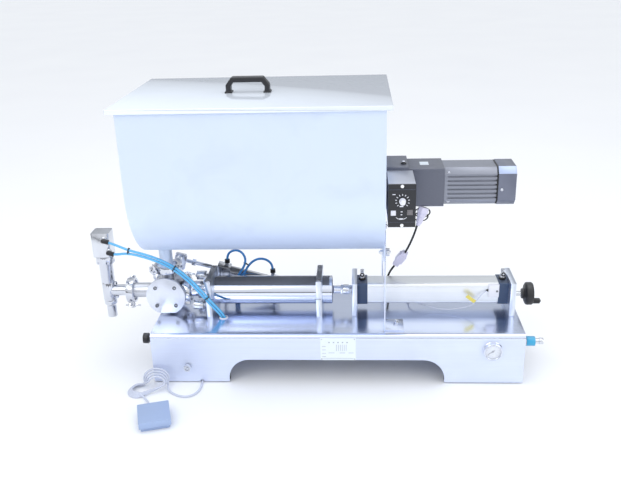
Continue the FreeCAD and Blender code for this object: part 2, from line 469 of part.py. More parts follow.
def hopper():
    shell = trough(HOP_X0, HOP_X1, HOP_R, HOP_TOP)
    flange = box(HOP_X0 - 8, HOP_X1 + 6, HOP_Y - HOP_R - 7, HOP_Y + HOP_R + 6, HOP_TOP - SHEET, HOP_TOP)
    tabs = [box(HOP_X1 - SHEET, HOP_X1, y0, y1, 300, 400) for y0, y1 in ((-95, -55), (90, 118))]
    spout, bore = ferrule(VALVE_X, AXIS_Y, INLET_FACE_Z + GASKET, Z, 16, 14, 66)
    shell = fuse(shell, flange, spout, *tabs)
    shell = shell.cut(trough(HOP_X0 + SHEET, HOP_X1 - SHEET, HOP_R - SHEET, HOP_TOP + 5)).cut(bore)
    shell = shell.cut(cyl(HOP_X1 - 10, HOP_Y, SHAFT_Z, X, 20, 20))
    for y in (-75, 104):
        shell = shell.cut(cyl(100, y, 316, X, 3, 20))
    save("hopper", shell)
    cup = ring(HOP_X0 + SHEET, HOP_Y, SHAFT_Z, X, 19, 10 + RUN, 14)
    seal = ring(HOP_X1 - 9, HOP_Y, SHAFT_Z, X, 20, 10 + RUN, 13)
    save("shaft_bearings", cup, seal)
    outer = box(LID_X0, LID_X1, LID_Y0, LID_Y1, 660, LID_TOP)
    lid = outer.cut(box(LID_X0 + SHEET, LID_X1 - SHEET, LID_Y0 + SHEET, LID_Y1 - SHEET, 659, LID_TOP - SHEET))
    save("lid", lid)
    points = [(-236.5, LID_TOP), (-236.5, 687), (-223.5, 704), (-152.5, 704), (-139, 687), (-139, LID_TOP),
              (-150, LID_TOP), (-150, 684), (-157, 693), (-219, 693), (-225.5, 684), (-225.5, LID_TOP)]
    save("lid_handle", prism(points, "Y", -7, 15))


def mixer():
    left, step, right = HOP_X0 + SHEET + 1, 184.0, 238.0
    shaft = fuse(cyl(left, HOP_Y, SHAFT_Z, X, 10, step - left), cyl(step, HOP_Y, SHAFT_Z, X, 6, right - step))
    for k, x in enumerate((-385, -290, -195, -100, -5, 70)):
        turn = FreeCAD.Rotation(X, 60 * k)
        arm = Part.makeCylinder(7, 128, V(0, 0, 8), Z)
        blade = Part.makeBox(4, 64, 34, V(-2, -32, 118))
        blade.rotate(V(0, 0, 135), Z, 40)
        paddle = fuse(arm, blade)
        paddle.Placement = FreeCAD.Placement(V(x, HOP_Y, SHAFT_Z), turn)
        shaft = fuse(shaft, paddle)
    save("mixer_shaft", shaft)
    wheel = gear(WHEEL_TEETH, 190, 205, SHAFT_Z, 90 + 180 / WHEEL_TEETH)
    save("output_gear", fuse(wheel, ring(205, HOP_Y, SHAFT_Z, X, 9.9, 5, 8)).cut(
        cyl(180, HOP_Y, SHAFT_Z, X, 6, 40)))


# ---- gear motor ---------------------------------------------------------------------------------
ADAPTER_X1, HEAD_X1, MOTOR_X1, COVER_X1 = 168.0, 249.0, 370.0, 410.0


def octagon(half, cut, x0, x1):
    points = [(-half, -half + cut), (-half + cut, -half), (half - cut, -half), (half, -half + cut),
              (half, half - cut), (half - cut, half), (-half + cut, half), (-half, half - cut)]
    return prism([(HOP_Y + a, MOTOR_Z + b) for a, b in points], "X", x0, x1)


def gear_motor():
    adapter = box(HOP_X1, ADAPTER_X1, HOP_Y - 50, HOP_Y + 50, MOTOR_Z - 49, MOTOR_Z + 51)
    adapter = rounded(adapter, 3, X).cut(cyl(HOP_X1 - 1, HOP_Y, SHAFT_Z, X, 24, 60))
    head = rounded(box(ADAPTER_X1, HEAD_X1, HOP_Y - 45, HOP_Y + 45, MOTOR_Z - 45, MOTOR_Z + 45), 3, X)
    head = head.cut(box(ADAPTER_X1 + 6, HEAD_X1 - 6, HOP_Y - 39, HOP_Y + 39, MOTOR_Z - 39, MOTOR_Z + 39))
    head = head.cut(cyl(ADAPTER_X1 - 1, HOP_Y, SHAFT_Z, X, 10 + RUN, 10))
    head = head.cut(cyl(HEAD_X1 - 10, HOP_Y, MOTOR_Z, X, 4.5 + RUN, 20))
    save("gearbox_housing", adapter, head)
    body = octagon(43.5, 13, HEAD_X1, MOTOR_X1)
    body = body.cut(cyl(HEAD_X1 + 6, HOP_Y, MOTOR_Z, X, 34, MOTOR_X1 - HEAD_X1 - 12))
    body = body.cut(cyl(HEAD_X1 - 1, HOP_Y, MOTOR_Z, X, 4.5 + RUN, 140))
    for side in (-1, 1):
        for k in range(6):
            z = MOTOR_Z - 25 + 10 * k
            y = HOP_Y + side * 43.5
            body = body.cut(box(HEAD_X1 + 8, MOTOR_X1 + 1, y - 4.5, y + 4.5, z - 2, z + 2))
            body = body.cut(box(HEAD_X1 + 8, MOTOR_X1 + 1, HOP_Y - 27 + 10 * k, HOP_Y - 23 + 10 * k,
                                MOTOR_Z - 48, MOTOR_Z - 39))
    stator = ring(276, HOP_Y, MOTOR_Z, X, 34, 26.5, 66)
    save("motor_housing", body, stator)
    cover = octagon(45, 14, MOTOR_X1, COVER_X1).cut(octagon(42.5, 13, MOTOR_X1 - 1, COVER_X1 - 2.5))
    for k in range(-3, 4):
        half = 30 - 3 * abs(k)
        cover = cover.cut(box(COVER_X1 - 5, COVER_X1 + 5, HOP_Y - half, HOP_Y + half, MOTOR_Z + 9 * k - 1.8,
                              MOTOR_Z + 9 * k + 1.8))
    save("motor_cover", cover)
    shaft = cyl(186, HOP_Y, MOTOR_Z, X, 4.5, 212)
    pinion = gear(PINION_TEETH, 188, 207, MOTOR_Z, 90)
    core = cyl(278, HOP_Y, MOTOR_Z, X, 26, 62)
    fan = cyl(378, HOP_Y, MOTOR_Z, X, 14, 16)
    for k in range(7):
        blade = box(378, 394, -1, 1, 10, 36)
        blade.rotate(V(0, 0, 0), X, 360 * k / 7)
        fan = fan.fuse(blade.translated(V(0, HOP_Y, MOTOR_Z)))
    save("motor_rotor", fuse(shaft, pinion, core, fan))


def speed_controller():
    shell = box(119, 177, -137, -32, 401, 496).cut(box(121, 175, -138, -34, 403, 494))
    save("controller_box", shell)
    panel = box(118.5, 177.5, -141, -137, 400.5, 496.5)
    panel = panel.cut(cyl(149, -150, 459.5, Y, 3 + RUN, 20)).cut(box(158.5, 171.5, -150, -130, 428, 441))
    save("controller_panel", panel)
    knob = fuse(cyl(149, -141.5, 459.5, -Y, 7.2, 3), cyl(149, -144.5, 459.5, -Y, 6, 9),
                cyl(149, -141.5, 459.5, Y, 3, 14))
    save("speed_knob", knob)
    rocker = box(159, 171, -143.5, -134, 428.7, 440.3)
    save("run_switch", rocker.cut(cyl(150, -149.5, 434.5, X, 7.5, 30)))


def legs():
    pieces = []
    for y0, y1, x1 in ((-103, -47, 160), (84, 118, 160)):
        leg = fuse(box(HOP_X1, HOP_X1 + 3, y0, y1, BASE_TOP, 372),
                   box(HOP_X1, x1, y0, y1, BASE_TOP, BASE_TOP + 3))
        pieces.append(leg.cut(cyl(110, -75, 316, X, 3, 20)).cut(cyl(110, 104, 316, X, 3, 20)))
    save("support_legs", *pieces)


# ---- controls on the base -----------------------------------------------------------------------
def controls():
    front = -BASE_D / 2
    case = fuse(cyl(GAUGE_X, front - 9, GAUGE_Z, Y, 21, 9), cyl(GAUGE_X, front, GAUGE_Z, Y, 18.5, 24),
                cyl(GAUGE_X, front + 20, GAUGE_Z, Y, 7, 22))
    case = case.cut(cyl(GAUGE_X, front - 10, GAUGE_Z, Y, 18.6, 6))
    case = case.cut(cyl(GAUGE_X, front - 5, GAUGE_Z, Y, 1.3, 6))
    save("gauge_case", case)
    pointer = fuse(box(GAUGE_X - 0.7, GAUGE_X + 0.7, front - 5.6, front - 4.8, GAUGE_Z - 5, GAUGE_Z + 14),
                   cyl(GAUGE_X, front - 6.2, GAUGE_Z, Y, 2.4, 1.6),
                   cyl(GAUGE_X, front - 5, GAUGE_Z, Y, 1.25, 4))
    pointer.rotate(V(GAUGE_X, front, GAUGE_Z), Y, -125)
    save("gauge_needle", pointer)
    knob = fuse(cyl(THROTTLE_X, front - 3.0, THROTTLE_Z, -Y, 8.5, 9),
                cyl(THROTTLE_X, front - 3.0, THROTTLE_Z, Y, 4.1, 26))
    knob = knob.cut(ring(THROTTLE_X, front - 14, THROTTLE_Z, Y, 5.0, 3.2, 3.5))
    save("throttle_knob", knob)
    wall = -BASE_L / 2
    knob = fuse(cyl(wall - 9.6, SIDE_Y, SELECTOR_Z, -X, 12.5, 12),
                cyl(wall - 9.6, SIDE_Y, SELECTOR_Z, X, 6.1, 34), cyl(wall - 1.2, SIDE_Y, SELECTOR_Z, -X, 9, 8.4))
    save("selector_knob", knob)
    wall = BASE_L / 2
    body = fuse(cyl(wall - 14, SIDE_Y, INLET_Z, X, 6, 56), hexagon(wall + 0.2, SIDE_Y, INLET_Z, X, 20, 5),
                cyl(wall + 35, SIDE_Y, INLET_Z, X, 7.5, 10), hexagon(wall - 12, SIDE_Y, INLET_Z, X, 18, 9.8))
    save("air_inlet", body.cut(cyl(wall - 20, SIDE_Y, INLET_Z, X, 3.5, 90)))
    save("inlet_sleeve", ring(wall + 5.6, SIDE_Y, INLET_Z, X, 11.5, 6 + RUN, 20))


# ---- foot pedal ---------------------------------------------------------------------------------
def pedal():
    base_block = rounded(box(-31.5, 31.5, -33, 36, 0, 12), 3, Z)
    lugs = [box(x - 2, x + 2, 28, 36, 10, 20) for x in (-29, 29)]
    pin = cyl(-35, 32, 16, X, 2, 70)
    boss = cyl(-8, 35, 5, Y, 4, 9)
    low = fuse(base_block, *lugs, pin, boss).cut(cyl(-8, 41, 5, Y, 2.5, 6))
    hood = rounded(box(-35, 35, -39, 39, 9.8, 24), 3, Z).cut(box(-33, 33, -37, 37, 9, 22))
    hood = hood.cut(cyl(-40, 32, 16, X, 2 + RUN, 80))
    for node, shape in (("pedal_base", low), ("pedal_treadle", hood)):
        shape.rotate(V(0, 0, 0), Z, PEDAL_TURN)
        shape.translate(PEDAL_AT)
        save(node, shape)


# ---- cords --------------------------------------------------------------------------------------
AIR_TUBE, MOTOR_CABLE, SENSOR_WIRE, PEDAL_CABLE = 6.0, 5.0, 2.6, 5.0

NOZZLE_TUBE_UPPER = [
    (-550.5, -7.5, 318), (-534, -8.5, 312.5), (-512, -11, 303.5), (-489, -15, 297), (-464, -19, 292),
    (-438, -24, 285.5), (-411, -29, 276), (-384, -34, 262.5), (-362, -38, 246), (-342, -41, 227.5),
    (-325, -42.5, 207), (-309.5, -42, 186), (-297, -40, 168.5), (-286, -37.5, 152.5), (-276.3, -35, 138.5),
    (-272, -34, 125)]
NOZZLE_TUBE_LOWER = [
    (-541.5, -7.5, 287), (-529, -8.5, 286), (-511.5, -11, 289.5), (-490, -15, 289.5), (-466, -19, 285),
    (-440.5, -24, 278.7), (-414, -29, 269.5), (-388, -34, 256.5), (-367, -38, 241), (-347.5, -41, 223),
    (-330.8, -42.5, 202.8), (-315.5, -42, 182), (-303, -40, 164.8), (-292, -37.5, 149.5), (-283.3, -35, 137),
    (-279, -34, 125)]
DRIVE_TUBE_FRONT = [
    (-281, 96, 224.5), (-280.5, 96, 238), (-272, 94, 250.5), (-257, 90, 257.5), (-241, 86, 253.5),
    (-232, 81.5, 240.5), (-231.5, 76.5, 226.5), (-238, 71.5, 214), (-247.5, 67, 201), (-255, 65.6, 185.5),
    (-259.5, 65.6, 168), (-260.8, 66, 147.5), (-258.2, 66, 125)]
DRIVE_TUBE_REAR = [
    (-165, 96, 196.5), (-165.5, 96, 210), (-172, 94.5, 223), (-185, 92, 231.5), (-200, 88, 233.5),
    (-214, 83, 228.5), (-225, 77, 218.5), (-231.5, 71, 207.5), (-240.5, 67, 195), (-248.5, 65.6, 180),
    (-253, 65.6, 163.5), (-254.2, 66, 145.5), (-251.4, 66, 125)]
MOTOR_CABLE_ROUTE = [
    (198, -14, 407), (197.5, -15, 391), (194, -14, 371), (190, -10, 350), (184.5, -2.5, 328), (177, 6.5, 303.5),
    (168, 17.5, 279), (157, 30.5, 256), (144.5, 44.5, 234), (133.5, 54.5, 214), (126.5, 58.5, 195),
    (125, 59, 174), (127, 58.5, 151), (130, 58, 125)]
SENSOR_WIRE_ROUTE = [
    (366, -4, 186), (356, -8, 184), (346, -13.5, 175), (337, -16.5, 163), (327, -15, 152), (313, -10.5, 144.5),
    (295.5, -7.5, 139.5), (277, -6, 136.5), (259.5, -3.5, 135.5), (243.5, -1, 137), (228, 3, 139.5),
    (212, 9.5, 141.5), (198.5, 19, 142.5), (187.5, 30, 142.5), (180.5, 41, 141), (178.3, 49, 134.5),
    (178, 51, 125.5)]
PEDAL_LEAD = [
    (-321.8, -106, 3.3), (-321.5, -127, 3.1), (-320, -147, 2.7), (-322.5, -167, 2.7), (-331.5, -184, 2.7),
    (-346.5, -192.5, 2.7), (-364, -189.5, 2.7), (-379.5, -180, 2.7), (-393.5, -169.5, 3.6), (-406, -162, 6)]
PEDAL_TAIL = [
    (-453, -183, 5), (-447, -194, 2.8), (-438.5, -205.5, 2.7), (-430, -217.5, 2.9), (-423.5, -230.5, 4),
    (-418.8, -245.5, 5)]
CONNECTOR_ENDS = ((168, 17.5, 279), (144.5, 44.5, 234))


def hank():
    """The loose hank of pedal cable: one lobe on the floor and one leaning on the base's corner."""
    flat = prism([(-496, -172), (-486, -141), (-462, -134), (-438, -140), (-430, -165), (-446, -190),
                  (-466, -203), (-488, -195)], "Z", 0, 15)
    lean = prism([(-462, 0), (-396, 0), (-392, 18), (-399, 39), (-413, 50), (-429, 48), (-447, 31), (-462, 14)],
                 "Y", -12, 12)
    lean.rotate(V(-425, 0, 0), X, -24)
    lean.translate(V(0, -160, 0))
    return fuse(flat, lean.common(box(-600, -300, -300, -124.5, 0, 100)))


def connector():
    """The white in-line connector, square in section, along the motor cable."""
    a, b = V(*CONNECTOR_ENDS[0]), V(*CONNECTOR_ENDS[1])
    length = (b - a).Length
    shell = fuse(Part.makeBox(10, 14, length * 0.94, V(-5, -7, length * 0.03)),
                 Part.makeBox(15, 19, length * 0.5, V(-7.5, -9.5, length * 0.2)))
    shell.Placement = FreeCAD.Placement(a, FreeCAD.Rotation(Z, (b - a).normalize()))
    return shell


def cords():
    save("nozzle_air_tubes", cord(NOZZLE_TUBE_UPPER, AIR_TUBE, "upper nozzle tube"),
         cord(NOZZLE_TUBE_LOWER, AIR_TUBE, "lower nozzle tube"))
    save("drive_air_tubes", cord(DRIVE_TUBE_FRONT, AIR_TUBE, "front drive tube"),
         cord(DRIVE_TUBE_REAR, AIR_TUBE, "rear drive tube"))
    cable = cord(MOTOR_CABLE_ROUTE, MOTOR_CABLE, "motor cable")
    save("motor_cable", cable)
    save("cable_connector", connector().cut(cable))
    save("sensor_wire", cord(SENSOR_WIRE_ROUTE, SENSOR_WIRE, "sensor wire"))
    save("pedal_cable", cord(PEDAL_LEAD, PEDAL_CABLE, "pedal lead"),
         cord(PEDAL_TAIL, PEDAL_CABLE, "pedal tail"))
    save("pedal_hank", hank())


def main():
    base()
    material_cylinder()
    air_cylinder()
    valve()
    nozzle()
    small_parts()
    hopper()
    mixer()
    gear_motor()
    speed_controller()
    legs()
    controls()
    pedal()
    cords()


main()
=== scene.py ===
"""The looks of a piston liquid filler with a mixing hopper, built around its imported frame.

Places are written in millimetres from the middle of the base's footprint on the floor, as in the part's
source, and place() turns them into the frame's own metres.
"""

import logging
import math
from collections.abc import Callable, Iterator
from contextlib import contextmanager
from dataclasses import dataclass, field
from enum import Enum

import bmesh
import bpy
from mathutils import Matrix, Vector


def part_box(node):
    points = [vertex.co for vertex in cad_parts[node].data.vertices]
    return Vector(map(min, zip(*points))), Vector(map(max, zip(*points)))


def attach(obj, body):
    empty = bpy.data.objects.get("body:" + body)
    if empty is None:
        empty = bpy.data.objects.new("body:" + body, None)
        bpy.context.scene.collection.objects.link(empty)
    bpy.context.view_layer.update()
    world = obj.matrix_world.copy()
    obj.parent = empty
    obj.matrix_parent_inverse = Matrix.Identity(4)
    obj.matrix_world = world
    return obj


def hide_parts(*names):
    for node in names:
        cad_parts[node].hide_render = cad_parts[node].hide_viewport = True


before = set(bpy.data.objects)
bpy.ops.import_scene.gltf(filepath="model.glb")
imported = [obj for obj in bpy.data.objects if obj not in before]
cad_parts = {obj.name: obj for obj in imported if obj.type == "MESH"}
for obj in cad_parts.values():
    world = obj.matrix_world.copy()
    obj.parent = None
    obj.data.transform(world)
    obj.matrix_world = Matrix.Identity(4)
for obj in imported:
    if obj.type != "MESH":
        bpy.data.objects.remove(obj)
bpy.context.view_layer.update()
log = logging.getLogger("filler")

MM = 0.001
Point = tuple[float, float, float]
Colour = tuple[float, float, float]
Test = Callable[[Vector, Vector], bool]


def middle_of_base() -> Vector:
    """Returns the middle of the base's footprint, on the floor, in the frame."""
    low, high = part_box("base_housing")
    return Vector(((low.x + high.x) / 2, (low.y + high.y) / 2, 0.0))


ORIGIN = middle_of_base()


def place(x: float, y: float, z: float) -> Vector:
    """Turns millimetres from the base's footprint middle into the frame's metres."""
    return ORIGIN + Vector((x, y, z)) * MM


# ---- shared effects -------------------------------------------------------------------------------


class Effect:
    """A shader node group with named sockets, built once and placed in many finishes."""

    def __init__(self, name: str, inputs: dict[str, str], outputs: dict[str, str]) -> None:
        """Starts an empty group.

        Args:
            name: The group's name.
            inputs: Socket name to socket type for what goes in.
            outputs: The same for what comes out.
        """
        self.tree = bpy.data.node_groups.new(name, "ShaderNodeTree")
        for side, sockets in (("INPUT", inputs), ("OUTPUT", outputs)):
            for label, kind in sockets.items():
                self.tree.interface.new_socket(label, in_out=side, socket_type=kind)
        self.source = self.tree.nodes.new("NodeGroupInput")
        self.sink = self.tree.nodes.new("NodeGroupOutput")

    def add(self, kind: str, wires: dict | None = None, **settings: object) -> bpy.types.Node:
        """Adds a node.

        Args:
            kind: The node's type.
            wires: Input socket to what feeds it: an output socket or a plain value.
            settings: Properties of the node.

        Returns:
            The new node.
        """
        return add_node(self.tree, kind, wires, **settings)

    def give(self, label: str, socket: bpy.types.NodeSocket) -> None:
        """Feeds one of the group's outputs."""
        self.tree.links.new(socket, self.sink.inputs[label])


def add_node(tree: bpy.types.NodeTree, kind: str, wires: dict | None = None, **settings: object) -> bpy.types.Node:
    """Adds a node to a tree, sets its properties and feeds its inputs.

    Args:
        tree: The node tree.
        kind: The node's type.
        wires: Input socket name or number to an output socket or a plain value.
        settings: Properties of the node.

    Returns:
        The new node.
    """
    node = tree.nodes.new(kind)
    for key, value in settings.items():
        setattr(node, key, value)
    for key, value in (wires or {}).items():
        if isinstance(value, bpy.types.NodeSocket):
            tree.links.new(value, node.inputs[key])
        else:
            node.inputs[key].default_value = value
    return node


VECTOR, NUMBER = "NodeSocketVector", "NodeSocketFloat"


def make_grain() -> bpy.types.NodeTree:
    """Fine noise on stretched coordinates: the drawn or brushed grain of metal."""
    effect = Effect("drawn_grain", {"Coordinates": VECTOR, "Contrast": NUMBER}, {"Tone": NUMBER, "Relief": NUMBER})
    source = effect.source.outputs
    fine = effect.add("ShaderNodeTexNoise", {"Vector": source["Coordinates"], "Scale": 1.0, "Detail": 4.0})
    wide = effect.add("ShaderNodeTexNoise", {"Vector": source["Coordinates"], "Scale": 0.13, "Detail": 2.0})
    both = effect.add("ShaderNodeMath", {0: fine.outputs["Fac"], 1: wide.outputs["Fac"]}, operation="ADD")
    centred = effect.add("ShaderNodeMath", {0: both.outputs[0], 1: 1.0}, operation="SUBTRACT")
    scaled = effect.add("ShaderNodeMath", {0: centred.outputs[0], 1: source["Contrast"]}, operation="MULTIPLY")
    tone = effect.add("ShaderNodeMath", {0: scaled.outputs[0], 1: 0.5}, operation="ADD", use_clamp=True)
    effect.give("Tone", tone.outputs[0])
    effect.give("Relief", fine.outputs["Fac"])
    return effect.tree


def make_marks() -> bpy.types.NodeTree:
    """Soft patches where hands and cloths have been."""
    effect = Effect("handling_marks", {"Coordinates": VECTOR, "Size": NUMBER}, {"Mask": NUMBER})
    source = effect.source.outputs
    patch = effect.add("ShaderNodeTexNoise", {"Vector": source["Coordinates"], "Scale": source["Size"],
                                              "Detail": 3.0, "Distortion": 0.6})
    mask = effect.add("ShaderNodeMapRange", {"Value": patch.outputs["Fac"], "From Min": 0.52, "From Max": 0.72})
    effect.give("Mask", mask.outputs["Result"])
    return effect.tree


def make_dust() -> bpy.types.NodeTree:
    """Dust that settles on faces that look up, thicker in patches."""
    effect = Effect("settled_dust", {"Coordinates": VECTOR, "Amount": NUMBER}, {"Mask": NUMBER})
    source = effect.source.outputs
    facing = effect.add("ShaderNodeSeparateXYZ", {0: effect.add("ShaderNodeNewGeometry").outputs["Normal"]})
    up = effect.add("ShaderNodeMapRange", {"Value": facing.outputs["Z"], "From Min": 0.6, "From Max": 1.0})
    speck = effect.add("ShaderNodeTexNoise", {"Vector": source["Coordinates"], "Scale": 60.0, "Detail": 5.0})
    part = effect.add("ShaderNodeMath", {0: up.outputs["Result"], 1: speck.outputs["Fac"]}, operation="MULTIPLY")
    mask = effect.add("ShaderNodeMath", {0: part.outputs[0], 1: source["Amount"]}, operation="MULTIPLY")
    effect.give("Mask", mask.outputs[0])
    return effect.tree


def make_pebble() -> bpy.types.NodeTree:
    """Rounded bumps: hammered paint or a moulded surface."""
    effect = Effect("pebbled_skin", {"Coordinates": VECTOR, "Size": NUMBER}, {"Tone": NUMBER, "Relief": NUMBER})
    source = effect.source.outputs
    cells = effect.add("ShaderNodeTexVoronoi", {"Vector": source["Coordinates"], "Scale": source["Size"]},
                       feature="SMOOTH_F1")
    cloud = effect.add("ShaderNodeTexNoise", {"Vector": source["Coordinates"], "Scale": source["Size"], "Detail": 2.0})
    effect.give("Tone", cloud.outputs["Fac"])
    effect.give("Relief", cells.outputs["Distance"])
    return effect.tree


GRAIN, MARKS, DUST, PEBBLE = make_grain(), make_marks(), make_dust(), make_pebble()


# ---- finishes -------------------------------------------------------------------------------------


class Graph:
    """A material's own nodes, with its Principled shader kept at hand."""

    def __init__(self, name: str, colour: Colour, roughness: float, metallic: float) -> None:
        """Starts a material.

        Args:
            name: The material's name.
            colour: Its plain colour.
            roughness: Its plain roughness.
            metallic: 1 for bare metal and 0 for paint, plastic and rubber.
        """
        self.material = bpy.data.materials.new(name)
        self.material.use_nodes = True
        self.material.diffuse_color = (*colour, 1.0)
        self.tree = self.material.node_tree
        self.shader = next(n for n in self.tree.nodes if n.type == "BSDF_PRINCIPLED")
        self.shader.inputs["Base Color"].default_value = (*colour, 1.0)
        self.shader.inputs["Roughness"].default_value = roughness
        self.shader.inputs["Metallic"].default_value = metallic
        self.spot = self.add("ShaderNodeTexCoord").outputs["Object"]

    def add(self, kind: str, wires: dict | None = None, **settings: object) -> bpy.types.Node:
        """Adds a node to the material, as add_node does."""
        return add_node(self.tree, kind, wires, **settings)

    def effect(self, tree: bpy.types.NodeTree, wires: dict) -> bpy.types.Node:
        """Places a shared effect."""
        return self.add("ShaderNodeGroup", wires, node_tree=tree)

    def feed(self, label: str, socket: bpy.types.NodeSocket) -> None:
        """Feeds one input of the shader."""
        self.tree.links.new(socket, self.shader.inputs[label])

    def blend(self, mask: bpy.types.NodeSocket, low: object, high: object) -> bpy.types.NodeSocket:
        """Mixes two colours by a mask.

        Args:
            mask: Where the second colour shows.
            low: The first colour, or a socket.
            high: The second.

        Returns:
            The mixed colour's socket.
        """
        mix = self.add("ShaderNodeMix", data_type="RGBA")
        self.tree.links.new(mask, mix.inputs["Factor"])
        for slot, value in ((6, low), (7, high)):
            if isinstance(value, bpy.types.NodeSocket):
                self.tree.links.new(value, mix.inputs[slot])
            else:
                mix.inputs[slot].default_value = (*value, 1.0)
        return mix.outputs[2]

    def between(self, mask: bpy.types.NodeSocket, low: float, high: float) -> bpy.types.NodeSocket:
        """Stretches a mask over a range of numbers."""
        return self.add("ShaderNodeMapRange", {"Value": mask, "To Min": low, "To Max": high}).outputs["Result"]

    def emboss(self, height: bpy.types.NodeSocket, depth: float) -> None:
        """Raises the surface by a height, in metres at most depth."""
        bump = self.add("ShaderNodeBump", {"Height": height, "Strength": 1.0, "Distance": depth})
        self.feed("Normal", bump.outputs["Normal"])


def shade(colour: Colour, by: float) -> Colour:
    """Returns the colour made darker or lighter by a factor."""
    return tuple(min(1.0, c * by) for c in colour)


DUST_COLOUR = (0.62, 0.63, 0.66)


@dataclass(frozen=True)
class Metal:
    """Bare metal with a grain, patches from handling and a little dust."""

    name: str
    colour: Colour
    roughness: float
    grain: Point = (60.0, 900.0, 900.0)
    contrast: float = 1.2
    spread: float = 0.10
    depth: float = 0.00002
    marks: float = 0.05
    dust: float = 0.10
    turned_about: Point | None = None
    metallic: float = 1.0

    def grain_place(self, graph: Graph) -> bpy.types.NodeSocket:
        """Returns the coordinates that the grain follows: stretched, or rings about a centre."""
        if self.turned_about is None:
            return graph.add("ShaderNodeMapping", {"Vector": graph.spot, "Scale": self.grain}).outputs[0]
        centre = -place(*self.turned_about)
        moved = graph.add("ShaderNodeMapping", {"Vector": graph.spot, "Location": centre})
        flat = graph.add("ShaderNodeVectorMath", {0: moved.outputs[0], 1: (1.0, 0.0, 1.0)}, operation="MULTIPLY")
        away = graph.add("ShaderNodeVectorMath", {0: flat.outputs[0]}, operation="LENGTH")
        ring = graph.add("ShaderNodeMath", {0: away.outputs["Value"], 1: 1400.0}, operation="MULTIPLY")
        return graph.add("ShaderNodeCombineXYZ", {"X": ring.outputs[0]}).outputs[0]

    def material(self) -> bpy.types.Material:
        """Builds the material."""
        graph = Graph(self.name, self.colour, self.roughness, self.metallic)
        grain = graph.effect(GRAIN, {"Coordinates": self.grain_place(graph), "Contrast": self.contrast})
        marks = graph.effect(MARKS, {"Coordinates": graph.spot, "Size": 7.0})
        dust = graph.effect(DUST, {"Coordinates": graph.spot, "Amount": self.dust})
        low, high = shade(self.colour, 1 - self.spread), shade(self.colour, 1 + self.spread)
        body = graph.blend(grain.outputs["Tone"], low, high)
        worn = graph.blend(graph.between(marks.outputs["Mask"], 0.0, 0.25), body, shade(self.colour, 0.86))
        graph.feed("Base Color", graph.blend(dust.outputs["Mask"], worn, DUST_COLOUR))
        rough = graph.between(grain.outputs["Tone"], max(0.015, self.roughness * 0.8), self.roughness * 1.2)
        smear = graph.between(marks.outputs["Mask"], 0.0, self.marks)
        total = graph.add("ShaderNodeMath", {0: rough, 1: smear}, operation="ADD")
        dusty = graph.add("ShaderNodeMath", {0: dust.outputs["Mask"], 1: 0.4}, operation="MULTIPLY")
        graph.feed("Roughness", graph.add("ShaderNodeMath", {0: total.outputs[0], 1: dusty.outputs[0]},
                                          operation="ADD", use_clamp=True).outputs[0])
        graph.emboss(grain.outputs["Relief"], self.depth)
        return graph.material


@dataclass(frozen=True)
class Paint:
    """Painted or anodised metal, and hammered paint where the pebbles are deep."""

    name: str
    colour: Colour
    roughness: float = 0.4
    pebble: float = 900.0
    depth: float = 0.00004
    metallic: float = 0.0
    coat: float = 0.0
    spread: float = 0.12
    dust: float = 0.15

    def material(self) -> bpy.types.Material:
        """Builds the material."""
        graph = Graph(self.name, self.colour, self.roughness, self.metallic)
        graph.shader.inputs["Coat Weight"].default_value = self.coat
        graph.shader.inputs["Coat Roughness"].default_value = 0.12
        skin = graph.effect(PEBBLE, {"Coordinates": graph.spot, "Size": self.pebble})
        marks = graph.effect(MARKS, {"Coordinates": graph.spot, "Size": 9.0})
        dust = graph.effect(DUST, {"Coordinates": graph.spot, "Amount": self.dust})
        low, high = shade(self.colour, 1 - self.spread), shade(self.colour, 1 + self.spread)
        body = graph.blend(skin.outputs["Tone"], low, high)
        worn = graph.blend(graph.between(marks.outputs["Mask"], 0.0, 0.3), body, shade(self.colour, 1.15))
        graph.feed("Base Color", graph.blend(dust.outputs["Mask"], worn, DUST_COLOUR))
        graph.feed("Roughness", graph.between(marks.outputs["Mask"], self.roughness, min(1.0, self.roughness + 0.12)))
        graph.emboss(skin.outputs["Relief"], self.depth)
        return graph.material


@dataclass(frozen=True)
class Clear:
    """Clear moulded plastic or glass."""

    name: str
    tint: Colour = (0.97, 0.98, 1.0)

    def material(self) -> bpy.types.Material:
        """Builds the material."""
        graph = Graph(self.name, self.tint, 0.03, 0.0)
        graph.shader.inputs["Alpha"].default_value = 0.16
        marks = graph.effect(MARKS, {"Coordinates": graph.spot, "Size": 40.0})
        graph.feed("Roughness", graph.between(marks.outputs["Mask"], 0.02, 0.08))
        return graph.material


